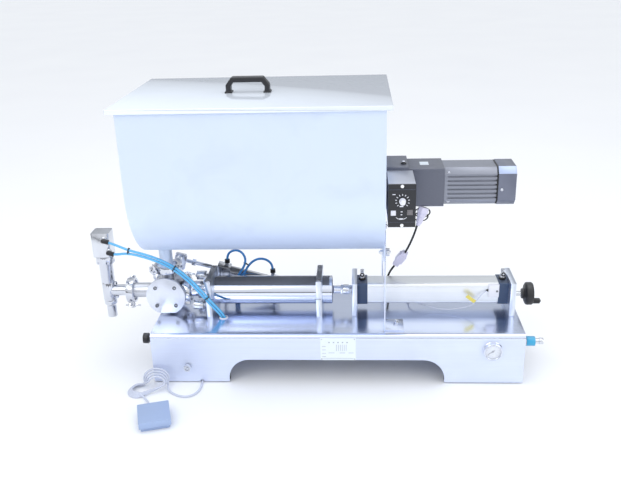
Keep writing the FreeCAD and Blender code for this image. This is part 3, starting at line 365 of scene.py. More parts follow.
class Look(Enum):
    """Every finish on the machine."""

    SHEET = Metal("hopper_sheet", (0.76, 0.84, 0.99), 0.62, (900.0, 900.0, 30.0), 0.5, 0.03, 0.000004, 0.03, 0.0)
    BASE = Metal("base_sheet", (0.74, 0.80, 0.98), 0.20, (20.0, 900.0, 900.0), 0.9, 0.05, 0.00001, 0.05, 0.0)
    FRONT = Metal("base_front", (0.74, 0.80, 0.97), 0.46, (20.0, 900.0, 900.0), 0.9, 0.05, 0.00001, 0.05, 0.0,
                  metallic=0.8)
    LID = Metal("lid_sheet", (0.84, 0.90, 1.0), 0.12, (14.0, 500.0, 500.0), 0.4, 0.02, 0.0000015, 0.03, 0.0,
                metallic=0.38)
    MIRROR = Metal("polished_steel", (0.74, 0.77, 0.86), 0.08, (12.0, 700.0, 700.0), 0.8, 0.04, 0.000003, 0.03, 0.03)
    TUBE = Metal("polished_tube", (0.74, 0.78, 0.88), 0.09, (12.0, 700.0, 700.0), 0.8, 0.04, 0.000003, 0.03, 0.0)
    CHROME = Metal("bright_fittings", (0.66, 0.68, 0.74), 0.09, (500.0, 500.0, 120.0), 0.8, 0.06, 0.000004, 0.04, 0.0)
    BRIGHT = Metal("bright_screw", (0.95, 0.96, 1.0), 0.30, (500.0, 500.0, 120.0), 0.8, 0.04, 0.000004, 0.04, 0.0,
                   metallic=0.3)
    SEAM = Metal("plate_seam", (0.26, 0.28, 0.34), 0.40, (800.0, 60.0, 800.0), 0.9, 0.06, 0.00001)
    TURNED = Metal("turned_steel", (0.70, 0.72, 0.77), 0.20, (500.0, 500.0, 120.0), 1.2, 0.10, 0.00001, 0.06, 0.05)
    COVER = Metal("faced_cover", (0.78, 0.82, 0.93), 0.34, contrast=0.8, spread=0.05, depth=0.00001,
                  turned_about=(-419.0, 0.0, 177.0))
    CAST = Metal("blasted_valve", (0.62, 0.64, 0.70), 0.36, (700.0, 700.0, 700.0), 1.4, 0.12, 0.00003)
    PLATE = Metal("machined_plate", (0.80, 0.85, 0.96), 0.36, (800.0, 60.0, 800.0), 0.9, 0.06, 0.00001)
    BARREL = Metal("drawn_barrel", (0.93, 0.96, 1.0), 0.40, (10.0, 1500.0, 1500.0), 1.0, 0.06, 0.00001)
    BRASS = Metal("cut_brass", (0.76, 0.58, 0.28), 0.28)
    DARK_STEEL = Metal("oiled_steel", (0.20, 0.21, 0.23), 0.35)
    CAP = Paint("slate_cap", (0.055, 0.085, 0.155), 0.36, 1600.0, 0.00001, 0.55, 0.2)
    GREY = Paint("hammered_grey", (0.125, 0.135, 0.175), 0.42, 650.0, 0.00009, 0.35, 0.25, 0.16)
    FINS = Paint("motor_grey", (0.27, 0.285, 0.34), 0.38, 1100.0, 0.00004, 0.5, 0.2, 0.12)
    SHELL = Paint("controller_grey", (0.64, 0.67, 0.76), 0.36, 1300.0, 0.00002, 0.6, 0.1, 0.06)
    BLACK = Paint("black_moulding", (0.012, 0.012, 0.015), 0.38, 1500.0, 0.00003, 0.0, 0.1)
    PANEL = Paint("panel_black", (0.008, 0.009, 0.014), 0.30, 2000.0, 0.00001, 0.0, 0.3, 0.1, 0.05)
    WHITE = Paint("white_moulding", (0.78, 0.79, 0.86), 0.42, 1500.0, 0.00001, 0.0, 0.1, 0.04)
    LAVENDER = Paint("connector_nylon", (0.70, 0.68, 0.84), 0.45, 1200.0, 0.00002, 0.0, 0.1, 0.04)
    RUBBER = Paint("black_rubber", (0.018, 0.018, 0.02), 0.75, 900.0, 0.00005)
    SKY_TUBE = Paint("light_blue_tube", (0.10, 0.46, 0.80), 0.22, 400.0, 0.000005, 0.0, 0.6, 0.05, 0.02)
    BLUE_TUBE = Paint("deep_blue_tube", (0.045, 0.25, 0.62), 0.20, 400.0, 0.000005, 0.0, 0.6, 0.05, 0.02)
    BLACK_CABLE = Paint("black_sheath", (0.010, 0.010, 0.013), 0.45, 1500.0, 0.00001)
    GREY_CABLE = Paint("grey_sheath", (0.56, 0.60, 0.72), 0.40, 1500.0, 0.00001, 0.0, 0.2, 0.05)
    CYAN = Paint("cyan_sleeve", (0.03, 0.36, 0.62), 0.30, 900.0, 0.00001, 0.0, 0.4)
    PEDAL = Paint("pedal_paint", (0.34, 0.44, 0.66), 0.46, 1100.0, 0.00004, 0.1, 0.1, 0.06, 0.05)
    GAUGE = Paint("gauge_enamel", (0.80, 0.84, 0.93), 0.30, 800.0, 0.000005, 0.0, 0.4, 0.03)
    YELLOW = Paint("tag_yellow", (0.82, 0.70, 0.16), 0.55, 1200.0, 0.00001)
    PLATE_FOIL = Paint("plate_foil", (0.80, 0.87, 0.93), 0.36, 900.0, 0.00001, 0.2, 0.2, 0.03, 0.0)
    RULE = Paint("ruled_grey", (0.40, 0.44, 0.50), 0.5, 900.0, 0.000005)
    COVER_GREY = Paint("cover_grey", (0.165, 0.18, 0.24), 0.34, 1100.0, 0.00002, 0.45, 0.3, 0.08)
    # Painted highlight: a lighter copy of the cover's grey, laid on one chamfer of the motor's end cover.
    COVER_EDGE = Paint("cover_painted_highlight", (0.42, 0.50, 0.70), 0.34, 1100.0, 0.00002, 0.45, 0.3, 0.08)
    SHELL_DARK = Paint("panel_strip", (0.045, 0.05, 0.07), 0.35, 1300.0, 0.00001, 0.3, 0.2, 0.06)
    SWITCH = Paint("switch_grey", (0.16, 0.15, 0.16), 0.35, 1500.0, 0.00001, 0.0, 0.2, 0.05)
    INK = Paint("grey_ink", (0.20, 0.22, 0.30), 0.5, 900.0, 0.000005)
    GLASS = Clear("clear_lens")


MADE: dict[Look, bpy.types.Material] = {}


def material_of(look: Look) -> bpy.types.Material:
    """Returns a finish's material, built at its first use."""
    if look not in MADE:
        MADE[look] = look.value.material()
    return MADE[look]


# ---- modelling moves ------------------------------------------------------------------------------


def put_down() -> None:
    """Leaves edit mode and deselects everything."""
    if bpy.context.object is not None and bpy.context.object.mode != "OBJECT":
        bpy.ops.object.mode_set(mode="OBJECT")
    bpy.ops.object.select_all(action="DESELECT")


def take_up(piece: bpy.types.Object) -> None:
    """Selects one piece and makes it the active one."""
    put_down()
    piece.select_set(True)
    bpy.context.view_layer.objects.active = piece


def settle(piece: bpy.types.Object) -> bpy.types.Object:
    """Puts a piece's place, turn and size into its mesh."""
    take_up(piece)
    bpy.ops.object.transform_apply(location=True, rotation=True, scale=True)
    return piece


def new_piece(name: str) -> bpy.types.Object:
    """Names the primitive that was just added and settles it."""
    piece = bpy.context.object
    piece.name = name
    piece.data.name = name
    return settle(piece)


def block(name: str, low: Point, high: Point) -> bpy.types.Object:
    """Adds a box between two corners, in the base's millimetres."""
    put_down()
    a, b = place(*low), place(*high)
    bpy.ops.mesh.primitive_cube_add(size=1.0, location=(a + b) / 2)
    bpy.context.object.scale = b - a
    return new_piece(name)


def rod(name: str, start: Point, end: Point, radius: float, sides: int = 40) -> bpy.types.Object:
    """Adds a round bar from one point to another, in the base's millimetres."""
    put_down()
    a, b = place(*start), place(*end)
    turn = (b - a).to_track_quat("Z", "Y").to_euler()
    bpy.ops.mesh.primitive_cylinder_add(vertices=sides, radius=radius * MM, depth=(b - a).length,
                                        location=(a + b) / 2, rotation=turn)
    return new_piece(name)


def turned(name: str, at: Point, axis: Point, profile: list[tuple[float, float]], sides: int = 48) -> bpy.types.Object:
    """Draws a disc out into a round piece, step by step.

    Args:
        name: The piece's name.
        at: Where its first disc lies, in the base's millimetres.
        axis: The way it grows.
        profile: Pairs of radius and height in millimetres, the first for the disc it starts from.
        sides: How many sides it has.

    Returns:
        The piece, closed at both ends.
    """
    (radius, height), *steps = profile
    put_down()
    bpy.ops.mesh.primitive_circle_add(vertices=sides, radius=radius * MM, location=(0, 0, height * MM), fill_type="NGON")
    piece = new_piece(name)
    bpy.ops.object.mode_set(mode="EDIT")
    bpy.ops.mesh.select_mode(type="FACE")
    bpy.ops.mesh.select_all(action="SELECT")
    for wide, high in steps:
        bpy.ops.mesh.extrude_region_move(TRANSFORM_OT_translate={"value": (0, 0, (high - height) * MM)})
        bpy.ops.transform.resize(value=(wide / radius, wide / radius, 1), center_override=(0, 0, high * MM))
        radius, height = wide, high
    bpy.ops.mesh.select_all(action="SELECT")
    bpy.ops.mesh.normals_make_consistent(inside=False)
    bpy.ops.object.mode_set(mode="OBJECT")
    piece.matrix_world = Matrix.Translation(place(*at)) @ Vector(axis).to_track_quat("Z", "Y").to_matrix().to_4x4()
    settle(piece)
    bpy.ops.object.shade_smooth_by_angle(angle=math.radians(32))
    return piece


@contextmanager
def faces_of(piece: bpy.types.Object, test: Test) -> Iterator[None]:
    """Opens a piece in edit mode with the faces that pass a test selected.

    Args:
        piece: The mesh object.
        test: Given a face's middle and normal, says whether it is wanted.
    """
    take_up(piece)
    bpy.ops.object.mode_set(mode="EDIT")
    bpy.ops.mesh.select_mode(type="FACE")
    bpy.ops.mesh.select_all(action="DESELECT")
    net = bmesh.from_edit_mesh(piece.data)
    for face in net.faces:
        face.select_set(test(face.calc_center_median(), face.normal))
    bmesh.update_edit_mesh(piece.data)
    yield
    bpy.ops.object.mode_set(mode="OBJECT")


def facing(direction: Point) -> Test:
    """Returns a test for faces that look one way."""
    way = Vector(direction)
    return lambda middle, normal: normal.dot(way) > 0.95


def pull(piece: bpy.types.Object, direction: Point, length: float, inset: float = 0.0, depth: float = 0.0) -> None:
    """Insets the faces that look one way and then extrudes them.

    Args:
        piece: The mesh object.
        direction: The way the faces look.
        length: How far they are extruded along it, in millimetres; negative pushes them in.
        inset: How far they are inset first, in millimetres.
        depth: How far the inset sinks or rises, in millimetres.
    """
    with faces_of(piece, facing(direction)):
        if inset:
            bpy.ops.mesh.inset(thickness=inset * MM, depth=depth * MM)
        if length:
            move = Vector(direction) * length * MM
            bpy.ops.mesh.extrude_region_move(TRANSFORM_OT_translate={"value": move})


def soften(piece: bpy.types.Object, width: float, segments: int = 2, angle: float = 32.0) -> bpy.types.Object:
    """Rounds a piece's sharp edges with a Bevel modifier, applied, and smooths its shading."""
    take_up(piece)
    bpy.ops.object.modifier_add(type="BEVEL")
    bevel = piece.modifiers[-1]
    bevel.width = width * MM
    bevel.segments = segments
    bevel.angle_limit = math.radians(angle)
    bpy.ops.object.modifier_apply(modifier=bevel.name)
    bpy.ops.object.shade_smooth_by_angle(angle=math.radians(angle))
    return piece


def join(name: str, pieces: list[bpy.types.Object]) -> bpy.types.Object:
    """Joins pieces of one sub-part into one mesh."""
    put_down()
    for piece in pieces:
        piece.select_set(True)
    bpy.context.view_layer.objects.active = pieces[0]
    bpy.ops.object.join()
    pieces[0].name = name
    pieces[0].data.name = name
    return pieces[0]


def dress(piece: bpy.types.Object, look: Look, body: str) -> bpy.types.Object:
    """Gives a new piece its finish and the body it rides on."""
    piece.data.materials.clear()
    piece.data.materials.append(material_of(look))
    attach(piece, body)
    return piece


def finish_node(node: str, look: Look, edge: float = 0.0) -> None:
    """Gives a CAD node its finish, joins its triangles and rounds its edges with live modifiers.

    Args:
        node: The node's name.
        look: Its finish.
        edge: The radius of its edges in millimetres, or 0 to leave them sharp.
    """
    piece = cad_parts[node]
    piece.data.materials.clear()
    piece.data.materials.append(material_of(look))
    for polygon in piece.data.polygons:
        polygon.use_smooth = True
    weld = piece.modifiers.new("weld", "WELD")
    weld.merge_threshold = 0.00001
    if edge:
        bevel = piece.modifiers.new("edges", "BEVEL")
        bevel.width = edge * MM
        bevel.segments = 2
        bevel.angle_limit = math.radians(38)
        bevel.harden_normals = True
    else:
        split = piece.modifiers.new("corners", "EDGE_SPLIT")
        split.split_angle = math.radians(32)


def refinish(node: str, look: Look, low: Point, high: Point) -> None:
    """Gives another finish to the faces of a CAD node whose middles lie in a box."""
    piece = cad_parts[node]
    piece.data.materials.append(material_of(look))
    index = len(piece.data.materials) - 1
    a, b = place(*low), place(*high)
    for polygon in piece.data.polygons:
        if all(a[i] <= polygon.center[i] <= b[i] for i in range(3)):
            polygon.material_index = index


def strand(name: str, points: list[Vector], diameter: float) -> bpy.types.Object:
    """Makes a smooth round cord along control points that are already in the frame's metres."""
    curve = bpy.data.curves.new(name, "CURVE")
    curve.dimensions = "3D"
    spline = curve.splines.new("NURBS")
    spline.points.add(len(points) - 1)
    for control, point in zip(spline.points, points):
        control.co = (*point, 1.0)
    spline.order_u = 3
    spline.use_endpoint_u = True
    curve.resolution_u = 8
    curve.bevel_depth = diameter / 2 * MM
    curve.bevel_resolution = 4
    curve.use_fill_caps = True
    piece = bpy.data.objects.new(name, curve)
    bpy.context.scene.collection.objects.link(piece)
    return piece


def line_of(piece: bpy.types.Object) -> list[Vector]:
    """Returns the points of a cord's own smooth line."""
    bare = bpy.data.objects.new("bare_line", piece.data.copy())
    bare.data.bevel_depth = 0.0
    mesh = bpy.data.meshes.new_from_object(bare)
    points = [v.co.copy() for v in mesh.vertices]
    bpy.data.meshes.remove(mesh)
    bpy.data.objects.remove(bare)
    return points


def length_of(points: list[Vector]) -> float:
    """Returns the length of a line of points."""
    return sum((b - a).length for a, b in zip(points, points[1:]))


# ---- the room -------------------------------------------------------------------------------------


@dataclass
class Studio:
    """The camera, the pale floor and the soft lights."""

    eye: Point = (56.7, -1688.7, 971.0)
    pitch: float = 0.384
    yaw: float = -0.0623
    roll: float = -0.0285
    lens: float = 44.135
    shift: tuple[float, float] = (-0.0077, 0.0125)
    floor_half: float = 60.0
    horizon: float = 0.62
    back_wall: float = 0.62
    sky_strength: float = 1.15

    def camera(self) -> None:
        """Sets the camera where the machine is seen from."""
        ahead = Vector((math.sin(self.yaw) * math.cos(self.pitch), math.cos(self.yaw) * math.cos(self.pitch),
                        -math.sin(self.pitch)))
        level = Vector((math.cos(self.yaw), -math.sin(self.yaw), 0.0))
        upright = level.cross(ahead)
        right = level * math.cos(self.roll) + upright * math.sin(self.roll)
        up = upright * math.cos(self.roll) - level * math.sin(self.roll)
        data = bpy.data.cameras.new("camera")
        data.lens = self.lens
        data.sensor_width = 36.0
        data.shift_x, data.shift_y = self.shift
        camera = bpy.data.objects.new("camera", data)
        bpy.context.scene.collection.objects.link(camera)
        camera.matrix_world = Matrix.Translation(place(*self.eye)) @ Matrix((right, up, -ahead)).transposed().to_4x4()
        bpy.context.scene.camera = camera

    def floor(self) -> None:
        """Lays the floor."""
        put_down()
        bpy.ops.mesh.primitive_plane_add(size=2 * self.floor_half, location=(0, 0, 0))
        floor = new_piece("studio_floor")
        graph = Graph("pale_floor", (0.93, 0.94, 0.96), 0.6, 0.0)
        cloud = graph.add("ShaderNodeTexNoise", {"Vector": graph.spot, "Scale": 1.5})
        graph.feed("Base Color", graph.blend(cloud.outputs["Fac"], (0.90, 0.91, 0.94), (0.95, 0.96, 0.98)))
        floor.data.materials.append(graph.material)

    def lamp(self, name: str, at: Point, aim: Point, size: tuple[float, float], power: float) -> None:
        """Hangs one soft rectangular lamp.

        Args:
            name: The lamp's name.
            at: Its place in metres, in the frame.
            aim: The point it faces.
            size: Its width and height in metres.
            power: Its power in watts.
        """
        data = bpy.data.lights.new(name, "AREA")
        data.shape = "RECTANGLE"
        data.size, data.size_y = size
        data.energy = power
        data.color = (0.97, 0.98, 1.0)
        lamp = bpy.data.objects.new(name, data)
        bpy.context.scene.collection.objects.link(lamp)
        lamp.matrix_world = Matrix.Translation(at) @ (Vector(aim) - Vector(at)).to_track_quat("-Z", "Y").to_matrix().to_4x4()

    def sky(self) -> None:
        """Lights everything from a sky that is bright above and a little darker at the horizon."""
        world = bpy.data.worlds.new("studio")
        bpy.context.scene.world = world
        world.use_nodes = True
        tree = world.node_tree
        backdrop = next(n for n in tree.nodes if n.type == "BACKGROUND")
        way = add_node(tree, "ShaderNodeTexCoord").outputs["Generated"]
        part = add_node(tree, "ShaderNodeSeparateXYZ", {0: way}).outputs
        rise = add_node(tree, "ShaderNodeValToRGB")
        lift = add_node(tree, "ShaderNodeMapRange", {"Value": part["Z"], "From Min": -0.1, "From Max": 1.0})
        tree.links.new(lift.outputs["Result"], rise.inputs["Fac"])
        rise.color_ramp.elements[0].color = (*shade((0.93, 0.95, 1.0), self.horizon), 1.0)
        rise.color_ramp.elements[1].color = (0.96, 0.98, 1.0, 1.0)
        rise.color_ramp.elements[1].position = 0.62
        behind = add_node(tree, "ShaderNodeMapRange", {"Value": part["Y"], "From Min": 0.1, "From Max": 0.8})
        dim = add_node(tree, "ShaderNodeMix", {"Factor": behind.outputs["Result"]}, data_type="RGBA")
        dim.inputs[6].default_value = (1.0, 1.0, 1.0, 1.0)
        dim.inputs[7].default_value = (*shade((0.95, 0.97, 1.0), self.back_wall), 1.0)
        both = add_node(tree, "ShaderNodeMix", {"Factor": 1.0}, data_type="RGBA", blend_type="MULTIPLY")
        tree.links.new(rise.outputs["Color"], both.inputs[6])
        tree.links.new(dim.outputs[2], both.inputs[7])
        tree.links.new(both.outputs[2], backdrop.inputs["Color"])
        backdrop.inputs["Strength"].default_value = self.sky_strength

    def card(self, name: str, low: Point, high: Point, tone: float) -> None:
        """Hangs a dark card that only the polished metal sees, flat across its thinnest side.

        Args:
            name: The card's name.
            low: Its lowest corner in metres, in the frame.
            high: Its highest corner.
            tone: How bright it is.
        """
        put_down()
        a, b = Vector(low), Vector(high)
        wide, deep, tall = b - a
        thinnest = min(range(3), key=lambda i: (b - a)[i])
        turn, scale = (((0.0, math.pi / 2, 0.0), (tall, deep, 1.0)), ((math.pi / 2, 0.0, 0.0), (wide, tall, 1.0)),
                       ((0.0, 0.0, 0.0), (wide, deep, 1.0)))[thinnest]
        bpy.ops.mesh.primitive_plane_add(size=1.0, location=(a + b) / 2, rotation=turn)
        bpy.context.object.scale = scale
        card = new_piece(name)
        graph = Graph(name, (tone, tone, tone * 1.08), 0.9, 0.0)
        cloud = graph.add("ShaderNodeTexNoise", {"Vector": graph.spot, "Scale": 0.8})
        graph.feed("Base Color", graph.blend(cloud.outputs["Fac"], (tone, tone, tone), shade((tone, tone, tone), 1.2)))
        card.data.materials.append(graph.material)
        card.visible_camera = False
        card.visible_diffuse = False
        card.visible_shadow = False

    def build(self) -> None:
        """Builds the whole room."""
        self.camera()
        self.floor()
        self.sky()
        self.lamp("key_softbox", (-1.3, -2.2, 2.3), (0.0, 0.0, 0.35), (1.8, 1.4), 16.0)
        self.lamp("fill_softbox", (2.2, -1.7, 1.4), (0.1, 0.0, 0.3), (1.4, 1.8), 9.0)
        self.lamp("top_softbox", (0.1, 0.2, 2.6), (0.0, 0.0, 0.5), (2.4, 1.4), 15.0)
        self.card("dark_card_low", (-3.0, -2.6, 0.0), (3.0, -2.6, 0.26), 0.04)
        self.card("dark_card_left", (-2.4, -0.7, 0.0), (-2.4, 2.4, 1.5), 0.03)
        self.card("dark_card_right", (2.4, -0.7, 0.0), (2.4, 2.4, 1.5), 0.03)
        # Painted shade in reflections: a dark card just under the hopper, above the material tube, seen only by gloss,
        # stands in for the shade under the hopper and darkens the tube's top.
        self.card("hopper_shade_card", tuple(place(-330, -24, 237)), tuple(place(-18, 122, 237)), 0.27)
        bpy.context.scene.view_settings.view_transform = "Standard"
        bpy.context.scene.view_settings.look = "None"


# ---- cords ----------------------------------------------------------------------------------------

ROUTES: dict[str, list[Point]] = {
    "nozzle_tube_upper": [
        (-550.5, -7.5, 318), (-534, -8.5, 312.5), (-512, -11, 303.5), (-489, -15, 297), (-464, -19, 292),
        (-438, -24, 285.5), (-411, -29, 276), (-384, -34, 262.5), (-362, -38, 246), (-342, -41, 227.5),
        (-325, -42.5, 207), (-309.5, -42, 186), (-297, -40, 168.5), (-286, -37.5, 152.5), (-276.3, -35, 138.5),
        (-272, -34, 125)],
    "nozzle_tube_lower": [
        (-541.5, -7.5, 287), (-529, -8.5, 286), (-511.5, -11, 289.5), (-490, -15, 289.5), (-466, -19, 285),
        (-440.5, -24, 278.7), (-414, -29, 269.5), (-388, -34, 256.5), (-367, -38, 241), (-347.5, -41, 223),
        (-330.8, -42.5, 202.8), (-315.5, -42, 182), (-303, -40, 164.8), (-292, -37.5, 149.5), (-283.3, -35, 137),
        (-279, -34, 125)],
    "drive_tube_front": [
        (-281, 96, 224.5), (-280.5, 96, 238), (-272, 94, 250.5), (-257, 90, 257.5), (-241, 86, 253.5),
        (-232, 81.5, 240.5), (-231.5, 76.5, 226.5), (-238, 71.5, 214), (-247.5, 67, 201), (-255, 65.6, 185.5),
        (-259.5, 65.6, 168), (-260.8, 66, 147.5), (-258.2, 66, 125)],
    "drive_tube_rear": [
        (-165, 96, 196.5), (-165.5, 96, 210), (-172, 94.5, 223), (-185, 92, 231.5), (-200, 88, 233.5),
        (-214, 83, 228.5), (-225, 77, 218.5), (-231.5, 71, 207.5), (-240.5, 67, 195), (-248.5, 65.6, 180),
        (-253, 65.6, 163.5), (-254.2, 66, 145.5), (-251.4, 66, 125)],
    "motor_cable_run": [
        (198, -14, 407), (197.5, -15, 391), (194, -14, 371), (190, -10, 350), (184.5, -2.5, 328), (177, 6.5, 303.5),
        (168, 17.5, 279), (157, 30.5, 256), (144.5, 44.5, 234), (133.5, 54.5, 214), (126.5, 58.5, 195),
        (125, 59, 174), (127, 58.5, 151), (130, 58, 125)],
    "sensor_wire_run": [
        (366, -4, 186), (356, -8, 184), (346, -13.5, 175), (337, -16.5, 163), (327, -15, 152), (313, -10.5, 144.5),
        (295.5, -7.5, 139.5), (277, -6, 136.5), (259.5, -3.5, 135.5), (243.5, -1, 137), (228, 3, 139.5),
        (212, 9.5, 141.5), (198.5, 19, 142.5), (187.5, 30, 142.5), (180.5, 41, 141), (178.3, 49, 134.5),
        (178, 51, 125.5)],
    "pedal_lead": [
        (-321.8, -106, 3.3), (-321.5, -127, 3.1), (-320, -147, 2.7), (-322.5, -167, 2.7), (-331.5, -184, 2.7),
        (-346.5, -192.5, 2.7), (-364, -189.5, 2.7), (-379.5, -180, 2.7), (-393.5, -169.5, 3.6)],
    "pedal_tail": [
        (-453, -183, 5), (-447, -194, 2.8), (-438.5, -205.5, 2.7), (-430, -217.5, 2.9), (-423.5, -230.5, 4),
        (-418.8, -245.5, 5)],
}


def leaning(x: float, up: float, lift: float = 0.0) -> Point:
    """Returns a point on the plane of the hank's standing lobe, which leans on the base."""
    tilt = math.radians(24)
    return (x, -160 + up * math.sin(tilt) - lift * math.cos(tilt), up * math.cos(tilt) + lift * math.sin(tilt) + 2.6)


@dataclass
class Hank:
    """The loose turns of the pedal's cable: loops on the floor at the left and leaning loops at the right."""

    turns: int = 4
    low_middle: tuple[float, float] = (-463.0, -168.0)
    high_middle: float = -427.0

    def turn(self, k: int) -> list[Point]:
        """Returns the points of one turn: up round the standing lobe, and round the flat lobe.

        Args:
            k: The turn's number, which sets how far it fans out.
        """
        wide, tall = 31.0 - 3.7 * k, 46.5 - 5.8 * k
        middle, lift = self.high_middle + 1.5 * k, -7.0 + 5.2 * k
        stand = [leaning(middle + wide * math.sin(a), tall * 0.5 * (1 - math.cos(a)) + 2.0, lift)
                 for a in (math.radians(d) for d in (60, 95, 130, 165, 200, 235, 265))]
        x0, y0 = self.low_middle
        spread = 27.0 - 2.8 * k
        height = 2.7 + 2.5 * k
        flat = [(x0 + spread * math.cos(a), y0 + (spread + 1.0) * math.sin(a), height)
                for a in (math.radians(d) for d in (75, 110, 145, 180, 215, 250, 285))]
        return stand + flat

    def points(self) -> list[Point]:
        """Returns the points of every turn, in order."""
        return [point for k in range(self.turns) for point in self.turn(k)]


@dataclass
class Cords:
    """The air tubes, the cables and what is tied round them."""

    tube: float = 6.0
    motor_cable: float = 5.0
    sensor_wire: float = 2.6
    pedal_cable: float = 5.0
    hank: Hank = field(default_factory=Hank)

    def lay(self, name: str, route: list[Point], diameter: float, look: Look, node: str, stiffness: str) -> bpy.types.Object:
        """Lays one cord along its route, hides the CAD node it stands for and logs its length.

        Args:
            name: The piece's name.
            route: Its control points in the base's millimetres.
            diameter: Its diameter in millimetres.
            look: Its finish.
            node: The CAD node it stands for.
            stiffness: How stiff it is; not used.

        Returns:
            The cord.
        """
        points = [place(*p) for p in route]
        piece = strand(name, points, diameter)
        dress(piece, look, "frame")
        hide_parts(node)
        log.info("%s %.1f mm long", name, length_of(line_of(piece)) / MM)
        return piece

    def tie(self, name: str, at: Point, along: Point, across: tuple[float, float], look: Look) -> bpy.types.Object:
        """Closes a cable tie round a bundle: a flat band with its head and its cut tail.

        Args:
            name: The piece's name.
            at: The middle of the bundle.
            along: The bundle's direction.
            across: Half the bundle's width and half its height.
            look: The finish.
        """
        put_down()
        bpy.ops.mesh.primitive_cylinder_add(vertices=32, radius=1.0, depth=2.6, end_fill_type="NOTHING")
        band = bpy.context.object
        band.scale = (across[0], across[1], 1.0)
        bpy.ops.object.transform_apply(scale=True)
        bpy.ops.object.modifier_add(type="SOLIDIFY")
        band.modifiers[-1].thickness = 0.9
        band.modifiers[-1].offset = 1.0
        bpy.ops.object.modifier_apply(modifier=band.modifiers[-1].name)
        put_down()
        bpy.ops.mesh.primitive_cube_add(size=1.0, location=(0, across[1] + 1.6, 0))
        head = bpy.context.object
        head.scale = (4.2, 3.0, 4.0)
        bpy.ops.object.transform_apply(location=True, scale=True)
        soften(head, 500.0)
        put_down()
        bpy.ops.mesh.primitive_cube_add(size=1.0, location=(3.4, across[1] + 1.4, 0))
        tail = bpy.context.object
        tail.scale = (4.4, 0.9, 2.2)
        bpy.ops.object.transform_apply(location=True, scale=True)
        soften(tail, 150.0)
        piece = join(name, [band, head, tail])
        direction = Vector(along).normalized()
        side = direction.cross(Vector((0.0, -1.0, 0.0))).normalized()
        front = side.cross(direction)
        turn = Matrix((side, -front, direction)).transposed().to_4x4()
        piece.matrix_world = Matrix.Translation(place(*at)) @ turn @ Matrix.Scale(MM, 4)
        settle(piece)
        take_up(piece)
        bpy.ops.object.mode_set(mode="EDIT")
        bpy.ops.mesh.select_all(action="SELECT")
        bpy.ops.mesh.normals_make_consistent(inside=False)
        bpy.ops.object.mode_set(mode="OBJECT")
        return dress(piece, look, "frame")

    def build(self) -> None:
        """Lays every cord."""
        upper = self.lay("nozzle_tube_upper", ROUTES["nozzle_tube_upper"], self.tube, Look.SKY_TUBE,
                         "nozzle_air_tubes", "medium")
        lower = self.lay("nozzle_tube_lower", ROUTES["nozzle_tube_lower"], self.tube, Look.SKY_TUBE,
                         "nozzle_air_tubes", "medium")
        front = self.lay("drive_tube_front", ROUTES["drive_tube_front"], self.tube, Look.BLUE_TUBE,
                         "drive_air_tubes", "medium")
        rear = self.lay("drive_tube_rear", ROUTES["drive_tube_rear"], self.tube, Look.BLUE_TUBE,
                        "drive_air_tubes", "medium")
        motor = self.lay("motor_cable_run", ROUTES["motor_cable_run"], self.motor_cable, Look.BLACK_CABLE,
                         "motor_cable", "medium")
        wire = self.lay("sensor_wire_run", ROUTES["sensor_wire_run"], self.sensor_wire, Look.GREY_CABLE,
                        "sensor_wire", "limp")
        route = ROUTES["pedal_lead"] + self.hank.points() + ROUTES["pedal_tail"][1:]
        pedal = self.lay("pedal_cable_run", route, self.pedal_cable, Look.GREY_CABLE, "pedal_cable", "limp")
        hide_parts("pedal_hank")
        length = length_of(line_of(pedal))
        log.info("pedal cable %.3f m", length)
        for k, (at, along) in enumerate((((-499, -13.1, 297.2), (-1, 0.13, 0.28)), ((-386, -34.2, 260.2), (-0.84, 0.15, 0.55)),
                                         ((-312.4, -42.2, 184.3), (-0.57, 0.05, 0.81)))):
            self.tie(f"tube_tie_{k + 1}", at, along, (7.4, 4.2), Look.BLACK)
        self.tie("drive_tie", (-229.0, 78.0, 223.5), (-0.45, -0.35, -0.82), (7.6, 4.6), Look.BLACK)


# ---- sub-assemblies -------------------------------------------------------------------------------


@dataclass
class Assembly:
    """One sub-assembly: finishes for its CAD nodes, and the pieces that are made for it here."""

    def finishes(self) -> dict[str, tuple[Look, float]]:
        """Returns each CAD node's finish and the radius of its edges."""
        return {}

    def details(self) -> None:
        """Makes the pieces that the frame doesn't hold."""

    def add(self, piece: bpy.types.Object, look: Look, slot: str | None = None, body: str = "frame") -> bpy.types.Object:
        """Dresses a new piece and reports it."""
        dress(piece, look, body)
        log.info("%s: %s on %s", type(self).__name__, piece.name, body)
        return piece

    def build(self) -> None:
        """Finishes the nodes and makes the details."""
        for node, (look, edge) in self.finishes().items():
            finish_node(node, look, edge)
            log.info("%s: %s finished", type(self).__name__, node)
        self.details()


